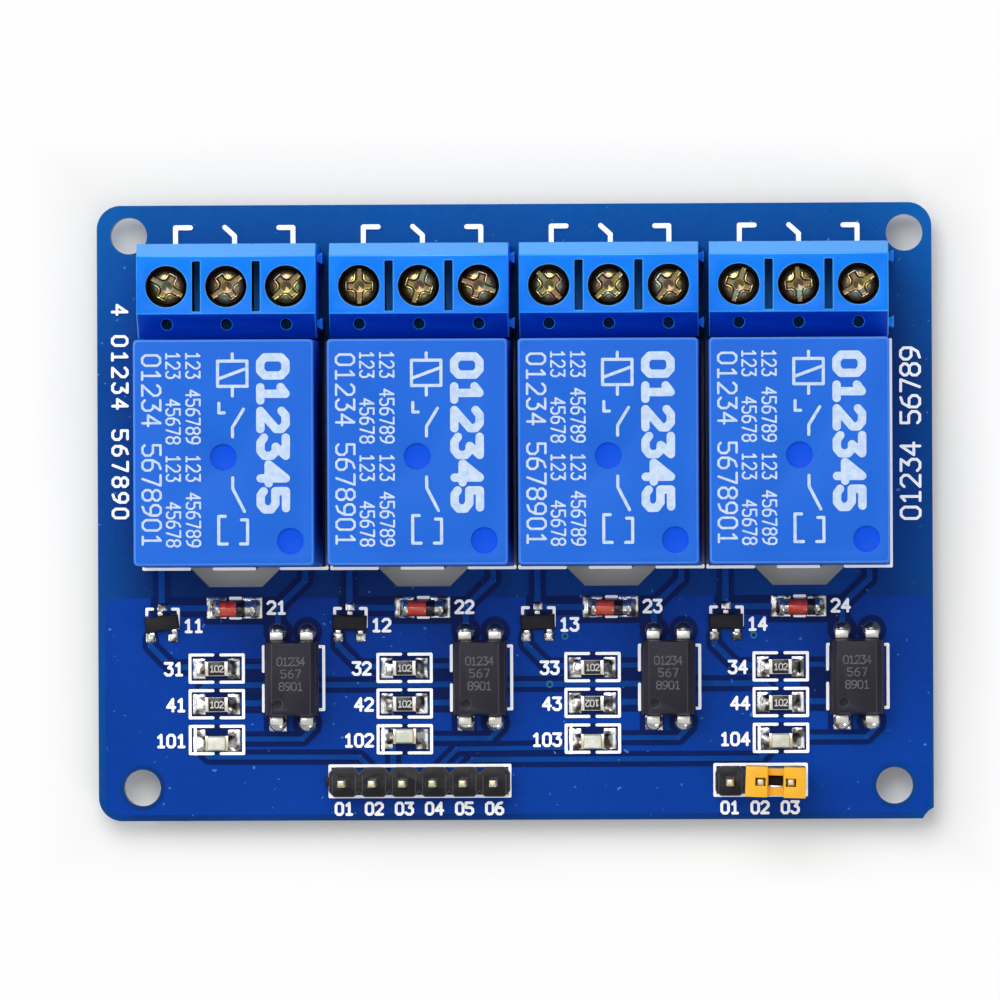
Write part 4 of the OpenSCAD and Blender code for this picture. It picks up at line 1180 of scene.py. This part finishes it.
def filletShape(length, width, height, steps=9):
    # solder that climbs a chip's end: high at x = 0 and thin at x = length
    points, count = [], steps + 1
    for i in range(count):
        s = i / steps
        for j in range(count):
            t = -1 + 2 * j / steps
            half = width / 2 * (1 - 0.1 * s * s)
            swell = (1 - abs(t) ** 3.5)
            climb = height * (1 - s) ** 2.1 + 0.1 * math.sin(math.pi * min(s * 1.1, 1))
            points.append((length * s, half * t, 0.03 + climb * (0.25 + 0.75 * swell) * (1 if s < 1 else 0.3)))
    faces = [(i * count + j, (i + 1) * count + j, (i + 1) * count + j + 1, i * count + j + 1)
             for i in range(steps) for j in range(steps)]
    rim = list(range(count)) + [i * count + steps for i in range(1, count)]
    rim += [steps * count + j for j in range(steps - 1, -1, -1)] + [i * count for i in range(steps - 1, 0, -1)]
    low = len(points)
    points += [(points[n][0], points[n][1], 0.0) for n in rim]
    size = len(rim)
    faces += [(rim[(n + 1) % size], rim[n], low + n, low + (n + 1) % size) for n in range(size)]
    faces.append(tuple(low + n for n in range(size)))
    return reworked(meshOf(points, faces), lambda shape: bmesh.ops.recalc_face_normals(shape, faces=shape.faces))


def chipEnds(boxes, past):
    # both ends of every box, each turned to face away from it
    spots = []
    for place, half in ((centre(b), (b[1].x - b[0].x) / 2 + past * mm) for b in boxes):
        spots += [(place.x + half, place.y, deck + joint["filletLift"] * mm, 0),
                  (place.x - half, place.y, deck + joint["filletLift"] * mm, 180)]
    return spots


piece("solder_cones", merged("solder", below=boardLow.z + 1.2 * mm), "solder", replaces=["solder"])
repeated("solder_domes", domeShape(joint["domeRadius"], joint["domeHeight"]),
         spotsOn(inEveryChannel(optoLands), deck + joint["domeLift"] * mm), "dome")
resistorBoxes, lampBoxes, glassBoxes = islands("resistors"), islands("lamps"), islands("diode_glass")
repeated("chip_fillets", filletShape(*joint["chip"]), chipEnds(resistorBoxes + lampBoxes, joint["chipPast"]), "solder")
repeated("diode_fillets", filletShape(*joint["diode"]), chipEnds(glassBoxes, joint["diodePast"]), "solder")
print("solder made")

# glass diodes with a black band

diode = {
    "length": 3.4, "radius": 0.7, "cap": 0.42, "capRadius": 0.76, "bandFrom": 0.26, "bandTo": 0.98, "bandOver": 0.04,
    "bandRise": 0.008, "glassFrom": -1.35, "slug": 0.66, "slugOver": 0.1, "slugEdge": 0.02, "glassEdge": 0.06,
    "capEdge": 0.1,
    "shift": (-0.15, 0, 0, 0.4),  # how far along each diode its glass and band lie
}
d = diode


def tube(x0, x1, radius, edge):
    # a rod along x with rounded edges
    out, back = edge * 0.3, radius - edge
    return lathe([(0, x0), (back, x0), (radius - out, x0 + out), (radius, x0 + edge), (radius, x1 - edge),
                  (radius - out, x1 - out), (back, x1), (0, x1)], 32, "X")


diodeSpots = [(p.x, p.y, p.z, 0) for p in (centre(b) for b in sorted(glassBoxes, key=lambda b: b[0].x))]
shifted = [(x + shift * mm, y, z, turn) for (x, y, z, turn), shift in zip(diodeSpots, d["shift"])]
repeated("diode_bodies", tube(d["glassFrom"], d["bandFrom"], d["radius"], d["glassEdge"]), shifted, "glass",
         replaces=["diode_glass"])
band = tube(d["bandFrom"] - d["bandOver"], d["bandTo"], d["radius"] + d["bandRise"], d["glassEdge"])
repeated("diode_bands", band, shifted, "band")
half = d["length"] / 2
inner = half - d["cap"] + d["slugOver"]
ends = [tube(x, x + d["cap"], d["capRadius"], d["capEdge"]) for x in (-half, half - d["cap"])]
slug = tube(-inner, inner, d["slug"], d["slugEdge"])
repeated("diode_caps", joined(ends + [slug]), diodeSpots, "tinned", replaces=["diode_end_caps"])
print("diodes made")

# chip resistors and lamps

chip = {
    "length": 2.0, "width": 1.25, "cap": 0.34, "capTop": 0.53, "capEdge": 0.06, "bodyTop": 0.46, "filmFrom": 0.4,
    "filmTop": 0.505, "filmIn": 0.06, "filmOver": 0.05, "edge": 0.03, "under": 0.02, "bodyIn": (0.03, 0.01),
    "value": "102", "digit": 0.52, "pitch": 0.76, "valuePitch": 0.72, "stroke": 0.1, "print": 0.012,
    "flipped": 4,  # this resistor, counted from the left, lies the other way round
}
half, side = chip["length"] / 2, chip["width"] / 2
inside = half - chip["cap"]
filmHalf, filmSide = inside + chip["filmOver"], side - chip["filmIn"]
resistorSpots = spotsAt(resistorBoxes, deck)
bodyHalf, bodySide = half - chip["bodyIn"][0], side - chip["bodyIn"][1]
body = block(-bodyHalf, -bodySide, chip["under"], bodyHalf, bodySide, chip["bodyTop"])
film = block(-filmHalf, -filmSide, chip["filmFrom"], filmHalf, filmSide, chip["filmTop"])
caps = joined([block(x, -side, 0, x + chip["cap"], side, chip["capTop"]) for x in (-half, inside)])
repeated("resistor_bodies", bevelled(body, chip["edge"]), resistorSpots, "ceramic",
         replaces=["resistors"])
repeated("resistor_films", bevelled(film, chip["edge"]), resistorSpots, "film")
repeated("resistor_caps", bevelled(caps, chip["capEdge"]), resistorSpots, "chipEnd")
valueLines = []
wide = (2 * chip["valuePitch"] + digitWidth) * chip["digit"]
for n, (x, y, _, _) in enumerate(resistorSpots):
    sign = -1 if n == chip["flipped"] else 1
    valueLines += digits(chip["value"], x / mm - sign * wide / 2, y / mm - sign * chip["digit"] / 2, chip["digit"],
                         chip["pitch"], 0 if sign > 0 else 180)
strip("resistor_values", [metres(p) for p in valueLines], chip["stroke"], chip["print"], chip["filmTop"], "valuePrint",
      slot="black")

lamp = {
    "inset": 0.02, "carrierTop": 0.3, "endWidth": 0.32, "endShift": 0.13, "endTop": 0.34, "notch": 0.26,
    "lensHalf": 0.8, "lensFrom": 0.28, "lensTop": 0.75, "lensDraw": 0.08, "lensEdge": 0.09,
}
lampSpots = spotsAt(lampBoxes, deck)
inset = lamp["inset"]
carrier = block(inset - half, -side, chip["under"], half - inset, side, lamp["carrierTop"])
repeated("lamp_carriers", bevelled(carrier, chip["edge"]), lampSpots, "carrier", replaces=["lamps"])
ends = []
for x in (lamp["endShift"] - half, half - lamp["endShift"]):
    end = block(x - lamp["endWidth"] / 2, -side - 0.01, 0, x + lamp["endWidth"] / 2, side + 0.01, lamp["endTop"])
    ends.append(cut(end, lathe([(0, -1), (lamp["notch"], -1), (lamp["notch"], 1), (0, 1)], 20)))
repeated("lamp_ends", bevelled(joined(ends), chip["edge"]), lampSpots, "brass")
lens = block(-lamp["lensHalf"], inset - side, lamp["lensFrom"], lamp["lensHalf"], side - inset, lamp["lensTop"],
             lamp["lensDraw"])
repeated("lamp_lenses", bevelled(lens, lamp["lensEdge"], 3), lampSpots, "lamp")
print("chips and lamps made")

# transistors

transistor = {"edge": 0.06, "legEdge": 0.03}
piece("transistor_bodies", bevelled(merged("transistors"), transistor["edge"]), "smallBlack",
      replaces=["transistors"])
piece("transistor_legs", bevelled(merged("transistor_leads"), transistor["legEdge"]), "tinned",
      replaces=["transistor_leads"])

# headers

header = {
    "edge": 0.1, "pin": 0.62, "pinEdge": 0.04, "tip": 0.12, "tipDraw": 0.09,
    "ridge": 0.97, "ridgeWidth": 0.07, "ridgeHeight": 0.02, "ridgeSpan": (-0.88, 0.62),
    "nubOut": 0.38, "nubIn": 0.1, "nubSpan": (-0.35, 0.45), "nubHeights": (0.4, 2.1), "nubEdge": 0.08,
}
ridges = []
for name in ("input", "power"):
    piece(f"{name}_header_body", bevelled(merged(f"{name}_header"), header["edge"]), "black",
          replaces=[f"{name}_header"], edges=["blackEdgeHighlight"])
    pins = islands(f"{name}_pins")
    low, high, half = pins[0][0].z / mm, pins[0][1].z / mm, header["pin"] / 2
    for x, y, _, _ in spotsAt(pins, 0):
        for side in (-header["ridge"] * mm, header["ridge"] * mm):
            ridges.append([(x + side, y + end * mm) for end in header["ridgeSpan"]])
    tip, draw = header["tip"], header["tipDraw"]
    shaft = block(-half, -half, low + tip, half, half, high - tip)
    upper = block(-half, -half, high - tip, half, half, high, draw)
    lower = block(-half, -half, -low - tip, half, half, -low, draw)
    lower.transform(Matrix.Rotation(math.pi, 4, "X"))
    pinShape = merging(joined([shaft, upper, lower]))
    repeated(f"{name}_header_pins", bevelled(pinShape, header["pinEdge"], 2, 50), spotsAt(pins, 0), "brass",
             replaces=[f"{name}_pins"])
# thin light strips on the header's top as painted highlights along the cells' edges
strip("header_ridges", ridges, header["ridgeWidth"], header["ridgeHeight"], 0.0, "ridge", slot="black",
      base=top("input_header"))
left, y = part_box("input_header")[0][0] / mm, middle("input_header").y / mm
(front, rear), (low, high) = header["nubSpan"], header["nubHeights"]
nub = block(left - header["nubOut"], y + front, deck / mm + low, left + header["nubIn"], y + rear, deck / mm + high,
            header["nubEdge"])
piece("input_header_nub", bevelled(nub, header["nubEdge"]), "black")
print("headers made")

# jumper cap: a moulded block with two pin windows, a low waist and a window in it, with a black block inside the window
# as painted shade

jumper = {
    "width": 5.05, "depth": 2.55, "waist": 0.68, "waistDepth": 1.3, "nick": 0.16, "window": (0.62, 0.5),
    "windowDepth": 4.2, "windowShift": 0.05, "pinAt": 1.27, "pinWindow": (0.43, 0.34), "edge": 0.1, "turn": -2,
    "leafHalf": 0.31, "leaf": 0.2, "leafFrom": 0.4, "bridge": (1.9, 1.42), "bridgeSpan": (0.02, 0.2),
    "springEdge": 0.03, "room": 0.02, "shade": (4.1, 2.4), "shadeIn": 0.08, "shadeEdge": 0.05,
}
j = jumper
capLow, capHigh = [v[2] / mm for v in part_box("jumper_cap")]
capPlace = middle("jumper_cap")
capSpot = [(capPlace.x, capPlace.y, 0, j["turn"])]
w, h = j["width"] / 2, j["depth"] / 2
tools = [block(-j["waist"], -h - 1, capHigh - j["waistDepth"], j["waist"], h + 1, capHigh + 1)]
for sign in (-1, 1):
    y, x = sign * (h + 1 - j["nick"]), sign * j["pinAt"]
    tools.append(block(-j["waist"], y - 1, capLow - 1, j["waist"], y + 1, capHigh + 1))
    a, b = j["pinWindow"]
    tools.append(block(x - a, -b, capLow - 1, x + a, b, capHigh + 1))
a, b = j["window"]
tools.append(block(-a, j["windowShift"] - b, capHigh - j["windowDepth"], a, j["windowShift"] + b, capHigh + 1))
repeated("jumper_body", bevelled(cut(block(-w, -h, capLow, w, h, capHigh), *tools), j["edge"], 2, 40), capSpot, "cap",
         replaces=["jumper_cap"])
(under, over), (front, rear), leaf = j["bridge"], j["bridgeSpan"], j["leaf"]
inner = j["pinAt"] - j["leafHalf"] - leaf
spring = [block(x, -j["leafHalf"], capLow + j["leafFrom"], x + leaf, j["leafHalf"], capHigh - under)
          for x in (-inner - leaf, inner)]
room = j["room"]
spring.append(block(-a - room, front - b, capHigh - under, a + room, rear - b, capHigh - over))
repeated("jumper_spring", bevelled(joined(spring), j["springEdge"]), capSpot, "tinned",
         replaces=["jumper_clip"])
# a black block inside the window stands for the shade there
low, high = [capHigh - v for v in j["shade"]]
shade = block(room - a, j["shadeIn"] - b, low, a - room, b, high)
repeated("jumper_shade", bevelled(shade, j["shadeEdge"]), capSpot, "smallBlack")
print("jumper made")

# camera, floor and light

view = {"place": (21.7, -5.0, 946.4), "tilt": (0.362, 1.395, -0.241), "lens": 402.1, "sensor": 36,
        "clip": (0.05, 10)}
light = {
    "zenith": 0.9, "sides": 0.3, "zenithFrom": 0.8, "zenithTo": 0.93,
    "floorHalf": 1500, "floorPaint": 0.93, "floorWhite": 0.92, "underWhite": 0.08, "fade": 6,
    # place, size and power
    "lamps": {"key": ((-0.12, 0.35, 0.72), (0.45, 0.45), 3.05), "left": ((-0.6, 0.1, 0.35), (0.4, 0.3), 1.0),
              "front": ((0.35, -0.45, 0.5), (0.3, 0.3), 0.7)},
}


def placeCamera():
    data = bpy.data.cameras.new("camera")
    data.lens, data.sensor_width = view["lens"], view["sensor"]
    data.clip_start, data.clip_end = view["clip"]
    camera = link(bpy.data.objects.new("camera", data))
    tilt = Vector(math.radians(v) for v in view["tilt"])
    turn = Quaternion(tilt.normalized(), tilt.length).to_matrix().to_4x4()
    camera.matrix_world = Matrix.Translation(Vector(view["place"]) * mm) @ turn
    bpy.context.scene.camera = camera


def makeFloor():
    material = bpy.data.materials.new("pale floor")
    material.use_nodes = True
    g = Graph(material.node_tree)
    g.tree.nodes.clear()
    g.add("ShaderNodeLightPath")
    rays = g.last.outputs
    seen = Wire(g, rays["Is Camera Ray"]) + Wire(g, rays["Is Glossy Ray"]) + Wire(g, rays["Is Transmission Ray"])
    matt = g.add("ShaderNodeBsdfDiffuse", None, {"Color": (*[light["floorPaint"]] * 3, 1)})
    white = g.add("ShaderNodeEmission", None, {"Color": (1, 1, 1, 1), "Strength": 1.0})
    g.add("ShaderNodeSeparateXYZ", None, {0: g.add("ShaderNodeTexCoord", out=3)})
    across, along = [Wire(g, g.last.outputs[name]) for name in "XY"]
    away = (across.size() - boardHigh.x).math("MAXIMUM", along.size() - boardHigh.y)  # from the board's edge
    least = light["underWhite"]
    shown = (away / (light["fade"] * mm)).clip() * (light["floorWhite"] - least) + least
    both = g.add("ShaderNodeMixShader", None, {0: seen.clip() * shown, 1: matt, 2: white})
    g.add("ShaderNodeOutputMaterial", None, {"Surface": both})
    half = light["floorHalf"]
    mesh = meshOf([(-half, -half, 0), (half, -half, 0), (half, half, 0), (-half, half, 0)], [(0, 1, 2, 3)])
    mesh.materials.append(material)
    link(bpy.data.objects.new("floor", mesh))


def softLamp(name, place, size, power):
    # an area lamp that points at the board
    data = bpy.data.lights.new(name, "AREA")
    data.shape, data.size, data.size_y, data.energy = "RECTANGLE", size[0], size[1], power
    lamp = link(bpy.data.objects.new(name, data))
    lamp.matrix_world = Matrix.Translation(place) @ Vector(place).to_track_quat("Z", "Y").to_matrix().to_4x4()


def makeWorld():
    world = bpy.data.worlds.new("studio")
    world.use_nodes = True
    bpy.context.scene.world = world
    g = Graph(world.node_tree)
    g.tree.nodes.clear()
    g.add("ShaderNodeLightPath")
    seen = Wire(g, g.last.outputs["Is Camera Ray"])
    g.add("ShaderNodeSeparateXYZ", None, {0: g.add("ShaderNodeTexCoord", out=0)})
    up = Wire(g, g.last.outputs["Z"])
    overhead = g.add("ShaderNodeMapRange", {"clamp": True, "interpolation_type": "SMOOTHSTEP"},
                     {0: up, 1: light["zenithFrom"], 2: light["zenithTo"], 3: light["sides"], 4: light["zenith"]})
    soft = g.add("ShaderNodeBackground", None, {"Color": (1, 1, 1, 1), "Strength": overhead})
    white = g.add("ShaderNodeBackground", None, {"Color": (1, 1, 1, 1), "Strength": 1.0})
    both = g.add("ShaderNodeMixShader", None, {0: seen, 1: soft, 2: white})
    g.add("ShaderNodeOutputWorld", None, {"Surface": both})


placeCamera()
makeFloor()
makeWorld()
for name, values in light["lamps"].items():
    softLamp(name, *values)
bpy.context.scene.view_settings.view_transform = "Standard"
print("camera, floor and lamps set")
